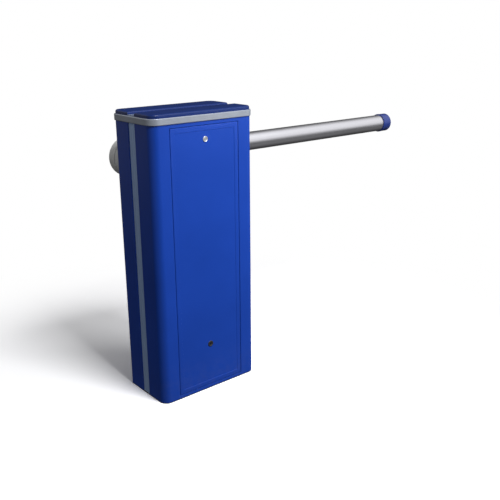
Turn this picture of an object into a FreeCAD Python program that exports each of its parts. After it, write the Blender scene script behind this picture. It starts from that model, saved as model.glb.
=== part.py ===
import FreeCAD, Part
import math
import os

import Sketcher

# A parking barrier gate: a two-shell steel cabinet on an anchored base plate, with a boom on its rear side.
# Inside, a hydraulic cylinder pushes a rack that turns a toothed sector on the boom's shaft, and a
# compression spring round the rod balances the boom.
# Millimetres. X runs along the boom, -Y is the door side, +Z is up, and the origin is at the centre of
# the four anchor holes, on the floor.

DIMENSIONS = {
    # cabinet
    "cabinet_width": 424, "cabinet_depth": 246, "cabinet_corner": 31, "shell_top": 1000, "shell_wall": 2.5,
    "gasket_thick": 3, "shell_lip": 11,
    # vertical joint profiles between the two half shells
    "profile_width": 40, "profile_gap": 0.8, "profile_recess": 3, "profile_depth": 18, "profile_wall": 2.5,
    "profile_groove": 1.2, "screw_end": 70,
    # top band and lids
    "band_height": 22, "band_proud": 4, "band_wall": 12, "band_round": 2.5, "lid_height": 13, "lid_wall": 2.5,
    "lid_inset": 1, "lid_round": 6, "channel_thick": 4,
    # door
    "door_side_margin": 70, "door_low": 15.5, "door_below_top": 14.5, "door_gap": 1.5, "door_sheet": 2.5,
    "door_fold": 22, "door_round": 1.8, "field_margin": 17, "field_step": 0.8, "frame_wall": 3.5,
    "frame_depth": 22, "seal_width": 8, "seal_thick": 3, "seal_clearance": 0.6, "hook_drop": 5,
    "hook_rise": 30, "hook_side_gap": 47, "hook_width": 30, "hook_thick": 3, "hook_swing": 8,
    # door lock
    "lock_below_top": 61, "lock_face": 10, "lock_body": 8.5, "lock_bore": 6, "lock_proud": 2.2,
    "plug_recess": 0.6, "plug_tail": 8, "key_slot_length": 8, "key_slot_width": 1.6, "key_slot_depth": 5.4,
    "cam_catch": 4, "cam_width": 14, "cam_thick": 3, "key_turn_gap": 0.05, "edge_chamfer": 1,
    # manual release
    "release_height": 180, "release_face": 11.5, "release_body": 9.5, "release_bore": 6.5,
    "release_proud": 2, "release_recess": 1.5, "release_tail": 6, "release_key_corner": 4.2,
    "release_key_depth": 7.5,
    # base
    "plate_thick": 8, "anchor_edge_x": 42, "anchor_edge_y": 38, "anchor_radius": 8, "cable_low_x": 78,
    "cable_side_gap": 3, "cable_half_y": 58, "cable_corner": 12, "lug_height": 44, "lug_thick": 6,
    # mechanism frame
    "frame_left": -150, "frame_right": 60, "frame_below_top": 95, "front_plate_y": -60, "rear_plate_y": 60,
    "frame_plate": 6, "leg_width": 25, "window_low": 60, "window_below_pivot": 234, "foot_length": 34,
    "arm_side_gap": 1, "arm_below_box": 40, "tie_radius": 8, "tie_bolt_radius": 4, "tie_bolt_head_thick": 6,
    "tie_low_left": 210, "tie_low_right": 320,
    # shaft and bearings
    "pivot_x": -97, "pivot_below_top": 156, "shaft_radius": 20, "running_gap": 0.05, "bush_wall": 5,
    "spigot_wall": 6, "bearing_rim": 13, "bearing_flange_thick": 12, "shaft_front": -84, "shaft_flange": 52,
    "shaft_flange_thick": 12, "seal_wall": 10, "seal_play": 0.6, "seal_lip": 8, "seal_inside": 2,
    "seal_outside": 3,
    # boom holder
    "holder_stand_off": 20, "saddle_wall": 24, "clamp_wall": 7, "drum_wall": 34, "clamp_gap": 5,
    "holder_bolt_x": 30, "holder_bolt_edge": 13, "holder_bolt_radius": 4, "holder_bolt_head": 7.2,
    "holder_bolt_head_thick": 4.8, "holder_bolt_short": 8, "holder_round": 9,
    # boom
    "boom_radius": 38, "boom_wall": 3, "boom_tail": 53, "boom_tip": 1339, "cap_length": 55, "cap_wall": 4.2,
    "cap_end": 7, "cap_round": 7,
    # toothed sector and rack
    "tooth_module": 4, "sector_teeth": 30, "pressure_angle": 20, "backlash": 0.5, "root_share": 1.25,
    "gear_width": 20, "sector_hub_wall": 13, "sector_after": 22.5, "sector_before": 112.5, "key_width": 12,
    "key_sink": 5, "key_height": 8, "rack_back": 18, "rack_below_pivot": 144, "rack_above_pivot": 18,
    "guide_gap": 0.4, "guide_thick": 22, "guide_half": 32, "guide_lip": 12, "guide_lip_thick": 6,
    # cylinder, rod and balance spring
    "rod_radius": 10, "rod_low": 240, "piston_above_end": 6, "piston_height": 26, "piston_radius": 20,
    "tube_wall": 8, "tube_low": 232, "tube_high": 430, "gland_rim": 8, "gland_thick": 18,
    "gland_spigot": 12, "seat_thick": 6, "seat_radius": 34, "seat_play": 1, "seat_below_rack": 8,
    "spring_mean": 24, "spring_wire": 8, "spring_pitch": 23.5, "spring_end_gap": 0.3,
    # hydraulic unit
    "block_left": -75, "block_right": 45, "block_half_y": 48, "block_low": 140, "tank_wall": 4,
    "tank_corner": 12, "motor_radius": 46, "motor_side_gap": 8, "motor_taper": 12, "motor_end_step": 3,
    "motor_neck_step": 6, "motor_neck_length": 8, "capacitor_radius": 18, "capacitor_length": 82,
    "capacitor_offset": 18, "spindle_radius": 6, "spindle_gap": 1.5, "spindle_depth": 26,
    "spindle_slot_depth": 5, "spindle_slot_width": 2,
    # stops and position sensing
    "arm_length": 62, "arm_thick": 20, "arm_front": 20, "arm_back": 32, "arm_hub_wall": 11,
    "buffer_radius": 8, "buffer_length": 14, "stop_gap": 0.4, "stop_block": 10, "stop_block_width": 22,
    "stop_block_edge": 2, "stop_offset": 48, "flag_front": -42, "flag_back": -38, "flag_radius": 60,
    "flag_hub_wall": 7, "sensor_radius": 6, "sensor_circle": 55, "sensor_gap": 2, "sensor_length": 50,
    # control box
    "box_left": 68, "box_side_gap": 5, "box_below_top": 160, "box_height": 295, "box_front": -22,
    "box_wall": 2.5, "cover_thick": 6, "cable_gland": 9, "cable_gland_neck": 7, "cable_gland_bore": 4,
    "cable_gland_length": 20, "cable_gland_inside": 4, "board_thick": 1.6, "board_gap": 6,
    "board_above_floor": 90, "board_below_lid": 12, "transformer_side": 30, "transformer_front": 8,
    "transformer_low": 14, "transformer_height": 60,
    # screws
    "screw_radius": 2.5, "screw_head": 4.5, "screw_head_thick": 3, "screw_play": 0.2, "foot_bolt_radius": 5,
    "foot_bolt_head": 9, "foot_bolt_head_thick": 6.4, "foot_bolt_short": 1,
}

CUT_PAST = 1.0
TOUCHING = 0.01

document = FreeCAD.newDocument("ParkingBarrier")
sheet = document.addObject("Spreadsheet::Sheet", "Dims")
for row, (alias, number) in enumerate(DIMENSIONS.items(), start=1):
    sheet.set(f"A{row}", alias)
    sheet.set(f"B{row}", str(number))
    sheet.setAlias(f"B{row}", alias)
document.recompute()


class Size:
    """A length with its number and the spreadsheet expression that gives it."""

    def __init__(self, number, text):
        self.number = number
        self.text = text

    @staticmethod
    def of(other):
        return other if isinstance(other, Size) else Size(other, f"({other})")

    def __add__(self, other):
        other = Size.of(other)
        return Size(self.number + other.number, f"({self.text} + {other.text})")

    def __sub__(self, other):
        other = Size.of(other)
        return Size(self.number - other.number, f"({self.text} - {other.text})")

    def __rsub__(self, other):
        return Size.of(other) - self

    def __mul__(self, factor):
        factor = Size.of(factor)
        return Size(self.number * factor.number, f"({self.text} * {factor.text})")

    def __truediv__(self, divisor):
        divisor = Size.of(divisor)
        return Size(self.number / divisor.number, f"({self.text} / {divisor.text})")

    def __neg__(self):
        return Size(-self.number, f"(-1 * {self.text})")

    __radd__ = __add__
    __rmul__ = __mul__


def dim(alias):
    return Size(float(sheet.get(alias)), f"Dims.{alias}")


class Dimensions:
    """dims.cabinet_width is the Size of the spreadsheet's cabinet_width."""

    def __getattr__(self, alias):
        return dim(alias)


dims = Dimensions()
ZERO = Size(0.0, "0")
subparts = []


def bind(thing, prop, size):
    thing.setExpression(prop, Size.of(size).text)


def object_name(label):
    return "".join(word.title() for word in label.split("_"))


def keep(thing, label):
    thing.Label = label
    subparts.append(thing)
    return thing


# ---- sketches --------------------------------------------------------------------------------------------

PLANES = {"Z": "XY_Plane", "Y": "XZ_Plane", "X": "YZ_Plane"}


def sketch_on(body, axis, offset=ZERO):
    """A sketch square to an axis of its body. Square to Y its normal is -Y, so the offset changes sign."""
    drawing = body.newObject("Sketcher::SketchObject", f"{body.Name}Sketch")
    plane = [item for item in body.Origin.OriginFeatures if item.Role == PLANES[axis]][0]
    drawing.AttachmentSupport = [(plane, "")]
    drawing.MapMode = "FlatFace"
    bind(drawing, "AttachmentOffset.Base.z", -offset if axis == "Y" else offset)
    return drawing


def fix(drawing, kind, value, *places):
    index = drawing.addConstraint(Sketcher.Constraint(kind, *places, value.number))
    drawing.renameConstraint(index, f"size{index}")
    drawing.setExpression(f"Constraints.size{index}", value.text)


def place(drawing, edge, end, u, v):
    fix(drawing, "DistanceX", Size.of(u), -1, 1, edge, end)
    fix(drawing, "DistanceY", Size.of(v), -1, 1, edge, end)


def polygon(drawing, points):
    corners = [FreeCAD.Vector(Size.of(u).number, Size.of(v).number, 0) for u, v in points]
    edges = []
    for start, end in zip(corners, corners[1:] + corners[:1]):
        edges.append(drawing.addGeometry(Part.LineSegment(start, end)))
    for edge, following in zip(edges, edges[1:] + edges[:1]):
        drawing.addConstraint(Sketcher.Constraint("Coincident", edge, 2, following, 1))
    for edge, (u, v) in zip(edges, points):
        place(drawing, edge, 1, u, v)


def rectangle(drawing, left, right, low, high):
    polygon(drawing, [(left, low), (right, low), (right, high), (left, high)])


def circle(drawing, u, v, radius):
    centre = FreeCAD.Vector(Size.of(u).number, Size.of(v).number, 0)
    edge = drawing.addGeometry(Part.Circle(centre, FreeCAD.Vector(0, 0, 1), radius.number))
    place(drawing, edge, 3, u, v)
    fix(drawing, "Radius", radius, edge)


def rounded(drawing, left, right, low, high, radius, round_high=True):
    """A rectangle with round corners. With round_high False, its two high corners stay square."""
    u0, u1, v0, v1 = (Size.of(item).number for item in (left, right, low, high))
    r = radius.number
    top = r if round_high else 0.0
    up = FreeCAD.Vector(0, 0, 1)

    def line(start, end):
        return drawing.addGeometry(Part.LineSegment(FreeCAD.Vector(*start, 0), FreeCAD.Vector(*end, 0)))

    def arc(u, v, first, last):
        ring = Part.Circle(FreeCAD.Vector(u, v, 0), up, r)
        return drawing.addGeometry(Part.ArcOfCircle(ring, math.radians(first), math.radians(last)))

    chain = [line((u0 + r, v0), (u1 - r, v0)), arc(u1 - r, v0 + r, 270, 360)]
    chain.append(line((u1, v0 + r), (u1, v1 - top)))
    if round_high:
        chain.append(arc(u1 - r, v1 - r, 0, 90))
    chain.append(line((u1 - top, v1), (u0 + top, v1)))
    if round_high:
        chain.append(arc(u0 + r, v1 - r, 90, 180))
    chain += [line((u0, v1 - top), (u0, v0 + r)), arc(u0 + r, v0 + r, 180, 270)]
    arcs = [edge for edge in chain if isinstance(drawing.Geometry[edge], Part.ArcOfCircle)]
    for edge, following in zip(chain, chain[1:] + chain[:1]):
        joint = "Tangent" if edge in arcs or following in arcs else "Coincident"
        drawing.addConstraint(Sketcher.Constraint(joint, edge, 2, following, 1))
    sides = [edge for edge in chain if edge not in arcs]
    for edge, direction in zip(sides, ("Horizontal", "Vertical", "Horizontal", "Vertical")):
        drawing.addConstraint(Sketcher.Constraint(direction, edge))
    for edge in arcs:
        fix(drawing, "Radius", radius, edge)
    fix(drawing, "DistanceY", Size.of(low), -1, 1, sides[0], 1)
    fix(drawing, "DistanceX", Size.of(right), -1, 1, sides[1], 1)
    fix(drawing, "DistanceY", Size.of(high), -1, 1, sides[2], 1)
    fix(drawing, "DistanceX", Size.of(left), -1, 1, sides[3], 1)


# ---- features --------------------------------------------------------------------------------------------


def new_body(label):
    return keep(document.addObject("PartDesign::Body", object_name(label)), label)


def extrude(body, axis, low, high, draw, cut=False):
    """Adds or cuts what draw() sketches, from low to high along the axis."""
    low, high = Size.of(low), Size.of(high)
    drawing = sketch_on(body, axis, high if axis == "Y" else low)
    draw(drawing)
    feature = body.newObject("PartDesign::Pocket" if cut else "PartDesign::Pad", f"{body.Name}Feature")
    feature.Profile = drawing
    bind(feature, "Length", high - low)
    feature.Reversed = cut
    drawing.Visibility = False
    return feature


def drill(body, axis, low, high, holes, radius):
    def draw(drawing):
        for u, v in holes:
            circle(drawing, u, v, radius)

    return extrude(body, axis, low, high, draw, cut=True)


def round_edges(body, base, radius, wanted):
    """Fillets the base feature's edges for which wanted(edge) is true."""
    document.recompute()
    names = [f"Edge{number}" for number, edge in enumerate(base.Shape.Edges, start=1) if wanted(edge)]
    fillet = body.newObject("PartDesign::Fillet", f"{body.Name}Round")
    fillet.Base = (base, names)
    bind(fillet, "Radius", radius)
    return fillet


def at_height(level):
    def wanted(edge):
        box = edge.BoundBox
        return abs(box.ZMin - level.number) < TOUCHING and abs(box.ZMax - level.number) < TOUCHING

    return wanted


TURNS = {
    "Z": FreeCAD.Rotation(),
    "Y": FreeCAD.Rotation(FreeCAD.Vector(1, 0, 0), -90),
    "X": FreeCAD.Rotation(FreeCAD.Vector(0, 1, 0), 90),
}
ACROSS = {"X": ("y", "z"), "Y": ("x", "z"), "Z": ("x", "y")}


def put(thing, axis, centre):
    """Turns a piece made along Z to the axis, and centres it there across the axis."""
    thing.Placement = FreeCAD.Placement(FreeCAD.Vector(), TURNS[axis])
    for direction, size in zip(ACROSS[axis], centre):
        bind(thing, f"Placement.Base.{direction}", size)


def turned(label, axis, centre, profile):
    """A lathe-turned piece: profile is its half section as (radius, place along the axis)."""
    body = new_body(label)
    drawing = sketch_on(body, "Y")
    polygon(drawing, profile)
    feature = body.newObject("PartDesign::Revolution", f"{body.Name}Turn")
    feature.Profile = drawing
    feature.ReferenceAxis = (drawing, ["V_Axis"])
    feature.Angle = 360
    drawing.Visibility = False
    put(body, axis, centre)
    return body


def ring(inner, outer, low, high):
    return [(inner, low), (outer, low), (outer, high), (inner, high)]


def block(name, x, y, z):
    piece = document.addObject("Part::Box", name)
    for prop, direction, (low, high) in zip(("Length", "Width", "Height"), "xyz", (x, y, z)):
        bind(piece, prop, Size.of(high) - low)
        bind(piece, f"Placement.Base.{direction}", low)
    return piece


def rod(name, axis, centre, low, high, radius):
    piece = document.addObject("Part::Cylinder", name)
    put(piece, axis, centre)
    bind(piece, "Radius", radius)
    bind(piece, "Height", Size.of(high) - low)
    bind(piece, f"Placement.Base.{axis.lower()}", low)
    return piece


def hexagon(name, axis, centre, low, high, radius):
    piece = document.addObject("Part::Prism", name)
    piece.Polygon = 6
    put(piece, axis, centre)
    bind(piece, "Circumradius", radius)
    bind(piece, "Height", Size.of(high) - low)
    bind(piece, f"Placement.Base.{axis.lower()}", low)
    return piece


def fuse(name, pieces):
    whole = document.addObject("Part::MultiFuse", name)
    whole.Shapes = pieces
    return whole


def cut(name, base, tools):
    whole = document.addObject("Part::Cut", name)
    whole.Base = base
    whole.Tool = tools[0] if len(tools) == 1 else fuse(f"{name}Tools", tools)
    return whole


def group(label, pieces):
    """Like pieces that share one sub-part, each a solid of its own."""
    for piece in pieces:
        if piece in subparts:
            subparts.remove(piece)
    whole = document.addObject("Part::Compound", object_name(label))
    whole.Links = pieces
    return keep(whole, label)


def bolt(name, axis, centre, seat, shank, toward, radius, head, thick):
    """A hexagon bolt whose head stands on seat. toward is +1 or -1: the way the head points."""
    if toward > 0:
        parts = [rod(f"{name}Shank", axis, centre, seat - shank, seat, radius)]
        parts.append(hexagon(f"{name}Head", axis, centre, seat, seat + thick, head))
    else:
        parts = [rod(f"{name}Shank", axis, centre, seat, seat + shank, radius)]
        parts.append(hexagon(f"{name}Head", axis, centre, seat - thick, seat, head))
    return fuse(name, parts)


# ---- places that several pieces share --------------------------------------------------------------------

half_width = dims.cabinet_width / 2
half_depth = dims.cabinet_depth / 2
inner_x = half_width - dims.shell_wall
inner_y = half_depth - dims.shell_wall
inner_corner = dims.cabinet_corner - dims.shell_wall
shell_edge = dims.profile_width / 2 + dims.profile_gap
profile_inside = half_width - dims.profile_recess - dims.profile_depth
band_top = dims.shell_top + dims.band_height
plate_top = dims.plate_thick
screw_hole = dims.screw_radius + dims.screw_play
foot_hole = dims.foot_bolt_radius + dims.screw_play
screw_rows = 4
screw_step = (dims.shell_top - dims.screw_end * 2) / (screw_rows - 1)
screw_heights = [dims.screw_end + screw_step * row for row in range(screw_rows)]
screw_x = half_width - dims.profile_recess - dims.profile_depth / 2

door_half = half_width - dims.door_side_margin
door_high = dims.shell_top - dims.door_below_top
opening_half = door_half + dims.door_gap
opening_low = dims.door_low - dims.door_gap
opening_high = door_high + dims.door_gap
lock_height = dims.shell_top - dims.lock_below_top

pivot_z = dims.shell_top - dims.pivot_below_top
pivot = (dims.pivot_x, pivot_z)
frame_top = dims.shell_top - dims.frame_below_top
bush_outer = dims.shaft_radius + dims.bush_wall
bearing_spigot = bush_outer + dims.spigot_wall
bearing_flange = bearing_spigot + dims.bearing_rim
bearing_screw_circle = bearing_spigot + dims.bearing_rim / 2
seal_outer = dims.shaft_radius + dims.seal_wall
holder_face = half_depth + dims.holder_stand_off
boom_axis_y = holder_face + dims.saddle_wall + dims.boom_radius
rack_low, rack_high = pivot_z - dims.rack_below_pivot, pivot_z + dims.rack_above_pivot
box_right = profile_inside - dims.box_side_gap
box_high = dims.shell_top - dims.box_below_top
box_low = box_high - dims.box_height

# ---- base ------------------------------------------------------------------------------------------------

# Steel base plate with four anchor holes, the cable opening, holes for the frame's feet, and at each end a
# notch for the joint profile and the lug that it is screwed to.
foot_holes = []
for foot_x in (dims.frame_left + dims.foot_length / 2, dims.frame_right - dims.foot_length / 2):
    foot_holes.append((foot_x, dims.front_plate_y - dims.foot_length / 2))
    foot_holes.append((foot_x, dims.rear_plate_y + dims.frame_plate + dims.foot_length / 2))
anchors = []
for side_x in (-1, 1):
    for side_y in (-1, 1):
        anchors.append(((half_width - dims.anchor_edge_x) * side_x,
                        (half_depth - dims.anchor_edge_y) * side_y))
cable_high_x = profile_inside - dims.lug_thick - dims.cable_side_gap

base_plate = new_body("base_plate")
extrude(base_plate, "Z", 0, dims.plate_thick,
        lambda s: rounded(s, -inner_x, inner_x, -inner_y, inner_y, inner_corner))
for side in (-1, 1):
    inside, outside = profile_inside - dims.lug_thick, profile_inside
    ends = (inside, outside) if side > 0 else (-outside, -inside)
    extrude(base_plate, "Z", plate_top, plate_top + dims.lug_height,
            lambda s: rectangle(s, ends[0], ends[1], -dims.profile_width / 2, dims.profile_width / 2))
    notch = (profile_inside, inner_x) if side > 0 else (-inner_x, -profile_inside)
    extrude(base_plate, "Z", 0, dims.plate_thick,
            lambda s: rectangle(s, *notch, -shell_edge - dims.shell_wall, shell_edge + dims.shell_wall),
            cut=True)
drill(base_plate, "Z", 0, dims.plate_thick, anchors, dims.anchor_radius)
drill(base_plate, "Z", 0, dims.plate_thick, foot_holes, foot_hole)
extrude(base_plate, "Z", 0, dims.plate_thick,
        lambda s: rounded(s, dims.cable_low_x, cable_high_x, -dims.cable_half_y, dims.cable_half_y,
                          dims.cable_corner), cut=True)

# Rubber gasket that the shells stand on.
base_gasket = new_body("base_gasket")
extrude(base_gasket, "Z", 0, dims.gasket_thick,
        lambda s: rounded(s, -half_width, half_width, -half_depth, half_depth, dims.cabinet_corner))
extrude(base_gasket, "Z", 0, dims.gasket_thick,
        lambda s: rounded(s, -inner_x, inner_x, -inner_y, inner_y, inner_corner), cut=True)

# ---- cabinet ---------------------------------------------------------------------------------------------


def half_shell(label):
    """One folded half of the cabinet, drawn at the front: a tray whose edges turn in beside the profiles."""
    body = new_body(label)
    low, high = dims.gasket_thick, dims.shell_top
    extrude(body, "Z", low, high,
            lambda s: rounded(s, -half_width, half_width, -half_depth, -shell_edge, dims.cabinet_corner,
                              False))
    extrude(body, "Z", low, high,
            lambda s: rounded(s, -inner_x, inner_x, -inner_y, -shell_edge - dims.shell_wall, inner_corner,
                              False), cut=True)
    lip_end = inner_x - dims.shell_lip
    extrude(body, "Z", low, high,
            lambda s: rectangle(s, -lip_end, lip_end, -shell_edge - dims.shell_wall, -shell_edge), cut=True)
    holes = [(side * screw_x, height) for side in (-1, 1) for height in screw_heights]
    drill(body, "Y", -shell_edge - dims.shell_wall, -shell_edge, holes, screw_hole)
    return body


front_shell = half_shell("front_shell")
extrude(front_shell, "Y", -half_depth, -inner_y,
        lambda s: rectangle(s, -opening_half, opening_half, opening_low, opening_high), cut=True)

# The rear half is the same tray turned round, with the shaft's hole and no door opening.
rear_shell = half_shell("rear_shell")
drill(rear_shell, "Y", -half_depth, -inner_y, [(-dims.pivot_x, pivot_z)], seal_outer)
half_turn = FreeCAD.Placement(FreeCAD.Vector(), FreeCAD.Rotation(FreeCAD.Vector(0, 0, 1), 180))
rear_shell.Placement = half_turn

# Extruded aluminium profiles between the half shells: a hollow box with two fine grooves down its face.
profiles = []
for side, label in ((-1, "left_profile"), (1, "right_profile")):
    face = half_width - dims.profile_recess
    half = dims.profile_width / 2
    wall = dims.profile_wall
    profile = new_body(label)
    profiles.append(profile)

    def across(near, far, side=side):
        return (near * side, far * side) if side > 0 else (far * side, near * side)

    outer = across(face - dims.profile_depth, face)
    inner = across(face - dims.profile_depth + wall, face - wall)
    groove = across(face - dims.profile_groove, face)
    extrude(profile, "Z", dims.gasket_thick, dims.shell_top, lambda s: rectangle(s, *outer, -half, half))
    extrude(profile, "Z", dims.gasket_thick, dims.shell_top,
            lambda s: rectangle(s, *inner, wall - half, half - wall), cut=True)
    for groove_y in (half / -3, half / 3):
        extrude(profile, "Z", dims.gasket_thick, dims.shell_top,
                lambda s: rectangle(s, *groove, groove_y - dims.profile_groove / 2,
                                    groove_y + dims.profile_groove / 2), cut=True)
    drill(profile, "Y", -half, half, [(side * screw_x, height) for height in screw_heights],
          dims.screw_radius)
group("joint_profiles", profiles)

# Cast aluminium band round the top edge. It carries the lids.
band_corner = dims.cabinet_corner + dims.band_proud
band_x, band_y = half_width + dims.band_proud, half_depth + dims.band_proud
top_band = new_body("top_band")
ring_pad = extrude(top_band, "Z", dims.shell_top, band_top,
                   lambda s: rounded(s, -band_x, band_x, -band_y, band_y, band_corner))
round_edges(top_band, ring_pad, dims.band_round,
            lambda edge: at_height(dims.shell_top)(edge) or at_height(band_top)(edge))
extrude(top_band, "Z", dims.shell_top, band_top,
        lambda s: rounded(s, dims.band_wall - band_x, band_x - dims.band_wall, dims.band_wall - band_y,
                          band_y - dims.band_wall, band_corner - dims.band_wall), cut=True)

# Two pressed lid halves, hollow below, either side of a flat aluminium channel strip.
lid_x, lid_y = half_width - dims.lid_inset, half_depth - dims.lid_inset
lid_corner = dims.cabinet_corner - dims.lid_inset
lid_top = band_top + dims.lid_height


def half_lid(label):
    body = new_body(label)
    shell = extrude(body, "Z", band_top, lid_top,
                    lambda s: rounded(s, -lid_x, lid_x, -lid_y, -shell_edge, lid_corner, False))
    round_edges(body, shell, dims.lid_round, at_height(lid_top))
    extrude(body, "Z", band_top, lid_top - dims.lid_wall,
            lambda s: rounded(s, dims.lid_round - lid_x, lid_x - dims.lid_round, dims.lid_round - lid_y,
                              -shell_edge - dims.lid_round, lid_corner - dims.lid_round, False), cut=True)
    return body


half_lid("front_lid")
half_lid("rear_lid").Placement = half_turn

lid_channel = new_body("lid_channel")
extrude(lid_channel, "Z", band_top, band_top + dims.channel_thick,
        lambda s: rectangle(s, -half_width, half_width, dims.profile_width / -2, dims.profile_width / 2))
for groove_y in (dims.profile_width / -6, dims.profile_width / 6):
    extrude(lid_channel, "Z", band_top + dims.channel_thick - dims.profile_groove,
            band_top + dims.channel_thick,
            lambda s: rectangle(s, -half_width, half_width, groove_y - dims.profile_groove / 2,
                                groove_y + dims.profile_groove / 2), cut=True)

# Welded frame behind the door opening, and the door's rubber seal on it.
door_frame = new_body("door_frame")
frame_out = opening_half + dims.frame_wall
frame_back = -inner_y + dims.frame_depth
extrude(door_frame, "Y", -inner_y, frame_back,
        lambda s: rectangle(s, -frame_out, frame_out, opening_low - dims.frame_wall,
                            opening_high + dims.frame_wall))
extrude(door_frame, "Y", -inner_y, frame_back,
        lambda s: rectangle(s, -opening_half, opening_half, opening_low, opening_high), cut=True)

door_back = dims.door_fold - half_depth
seal_front = door_back + dims.seal_clearance
door_seal = new_body("door_seal")
extrude(door_seal, "Y", seal_front, seal_front + dims.seal_thick,
        lambda s: rectangle(s, -opening_half, opening_half, opening_low, opening_high))
extrude(door_seal, "Y", seal_front, seal_front + dims.seal_thick,
        lambda s: rectangle(s, dims.seal_width - opening_half, opening_half - dims.seal_width,
                            opening_low + dims.seal_width, opening_high - dims.seal_width), cut=True)

# ---- door ------------------------------------------------------------------------------------------------

# Folded steel door: a shallow tray with rounded face edges, and a face field set back by a small step.
door_panel = new_body("door_panel")
tray = extrude(door_panel, "Y", -half_depth, door_back,
               lambda s: rectangle(s, -door_half, door_half, dims.door_low, door_high))
round_edges(door_panel, tray, dims.door_round,
            lambda edge: abs(edge.BoundBox.YMax + half_depth.number) < TOUCHING)
extrude(door_panel, "Y", -inner_y, door_back,
        lambda s: rectangle(s, dims.door_sheet - door_half, door_half - dims.door_sheet,
                            dims.door_low + dims.door_sheet, door_high - dims.door_sheet), cut=True)
extrude(door_panel, "Y", -half_depth, -half_depth + dims.field_step,
        lambda s: rectangle(s, dims.field_margin - door_half, door_half - dims.field_margin,
                            dims.door_low + dims.field_margin, door_high - dims.field_margin), cut=True)
field_face = -half_depth + dims.field_step
drill(door_panel, "Y", field_face, -inner_y, [(0, lock_height)], dims.lock_body)
drill(door_panel, "Y", field_face, -inner_y, [(0, dims.release_height)], dims.release_body)

# Two hooks through the door's foot reach down into slots in the frame, so the door tips out on its lower
# front edge and then lifts off.
hook_front = -inner_y + dims.door_gap
hook_offset = door_half - dims.hook_side_gap
hooks = []
for side in (-1, 1):
    ends = (hook_offset * side - dims.hook_width / 2, hook_offset * side + dims.hook_width / 2)
    hooks.append(block(f"Hook{side + 1}", ends, (hook_front, hook_front + dims.hook_thick),
                       (dims.door_low - dims.hook_drop, dims.door_low + dims.hook_rise)))
    extrude(door_panel, "Z", dims.door_low, dims.door_low + dims.door_sheet,
            lambda s: rectangle(s, *ends, hook_front, hook_front + dims.hook_thick), cut=True)
    extrude(door_frame, "Z", opening_low - dims.frame_wall, opening_low,
            lambda s: rectangle(s, ends[0] - dims.door_gap, ends[1] + dims.door_gap, -inner_y,
                                hook_front + dims.hook_thick + dims.hook_swing), cut=True)
group("door_hooks", hooks)

# Door lock: a plated barrel through the door, a turning plug with its key slot, and the cam behind. Turned
# up, the cam catches behind the door frame. At rest it points sideways, and the door is free.
lock_front = field_face - dims.lock_proud
plug_front = lock_front + dims.plug_recess
plug_back = door_back + dims.plug_tail
lock_bore = dims.lock_bore + dims.key_turn_gap
turned("lock_barrel", "Y", (ZERO, lock_height), [
    (lock_bore, lock_front), (dims.lock_face - dims.edge_chamfer, lock_front),
    (dims.lock_face, lock_front + dims.edge_chamfer), (dims.lock_face, field_face),
    (dims.lock_body, field_face), (dims.lock_body, door_back), (lock_bore, door_back)])
lock_plug = turned("lock_plug", "Y", (ZERO, lock_height),
                   [(ZERO, plug_front), (dims.lock_bore, plug_front), (dims.lock_bore, plug_back),
                    (ZERO, plug_back)])
extrude(lock_plug, "Z", plug_front, plug_front + dims.key_slot_depth,
        lambda s: rectangle(s, dims.key_slot_length / -2, dims.key_slot_length / 2,
                            dims.key_slot_width / -2, dims.key_slot_width / 2), cut=True)
lock_cam = new_body("lock_cam")
cam_half = dims.cam_width / 2
cam_reach = opening_high + dims.cam_catch - lock_height
extrude(lock_cam, "Y", plug_back, plug_back + dims.cam_thick,
        lambda s: rectangle(s, -cam_half, cam_reach, lock_height - cam_half, lock_height + cam_half))

# Manual release: a black escutcheon in the door, a turning plug with a three-cornered key recess, and
# behind it the spindle of the hydraulic unit's release valve.
release_front = field_face - dims.release_proud
release_plug_front = release_front + dims.release_recess
release_back = door_back + dims.release_tail
release_bore = dims.release_bore + dims.key_turn_gap
turned("release_escutcheon", "Y", (ZERO, dims.release_height), [
    (release_bore, release_front), (dims.release_face - dims.edge_chamfer, release_front),
    (dims.release_face, release_front + dims.edge_chamfer), (dims.release_face, field_face),
    (dims.release_body, field_face), (dims.release_body, door_back), (release_bore, door_back)])
release_plug = turned("release_plug", "Y", (ZERO, dims.release_height), [
    (ZERO, release_plug_front), (dims.release_bore, release_plug_front), (dims.release_bore, release_back),
    (ZERO, release_back)])
key_corners = [(dims.release_key_corner * math.cos(math.radians(turn)),
                dims.release_key_corner * math.sin(math.radians(turn))) for turn in (90, 210, 330)]
extrude(release_plug, "Z", release_plug_front, release_plug_front + dims.release_key_depth,
        lambda s: polygon(s, key_corners), cut=True)

# ---- mechanism frame -------------------------------------------------------------------------------------

front_plate_back = dims.front_plate_y + dims.frame_plate
rear_plate_back = dims.rear_plate_y + dims.frame_plate
tie_left, tie_right = dims.frame_left + dims.leg_width / 2, dims.frame_right - dims.leg_width / 2
tie_high = frame_top - dims.leg_width / 2
tie_places = [(tie_left, dims.tie_low_left), (tie_right, dims.tie_low_right), (tie_left, tie_high),
              (tie_right, tie_high)]
bearing_angles = (45, 135, 225, 315)
bearing_screws = []
for turn in bearing_angles:
    across_x, across_z = math.cos(math.radians(turn)), math.sin(math.radians(turn))
    bearing_screws.append((dims.pivot_x + bearing_screw_circle * across_x,
                           pivot_z + bearing_screw_circle * across_z))

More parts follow.
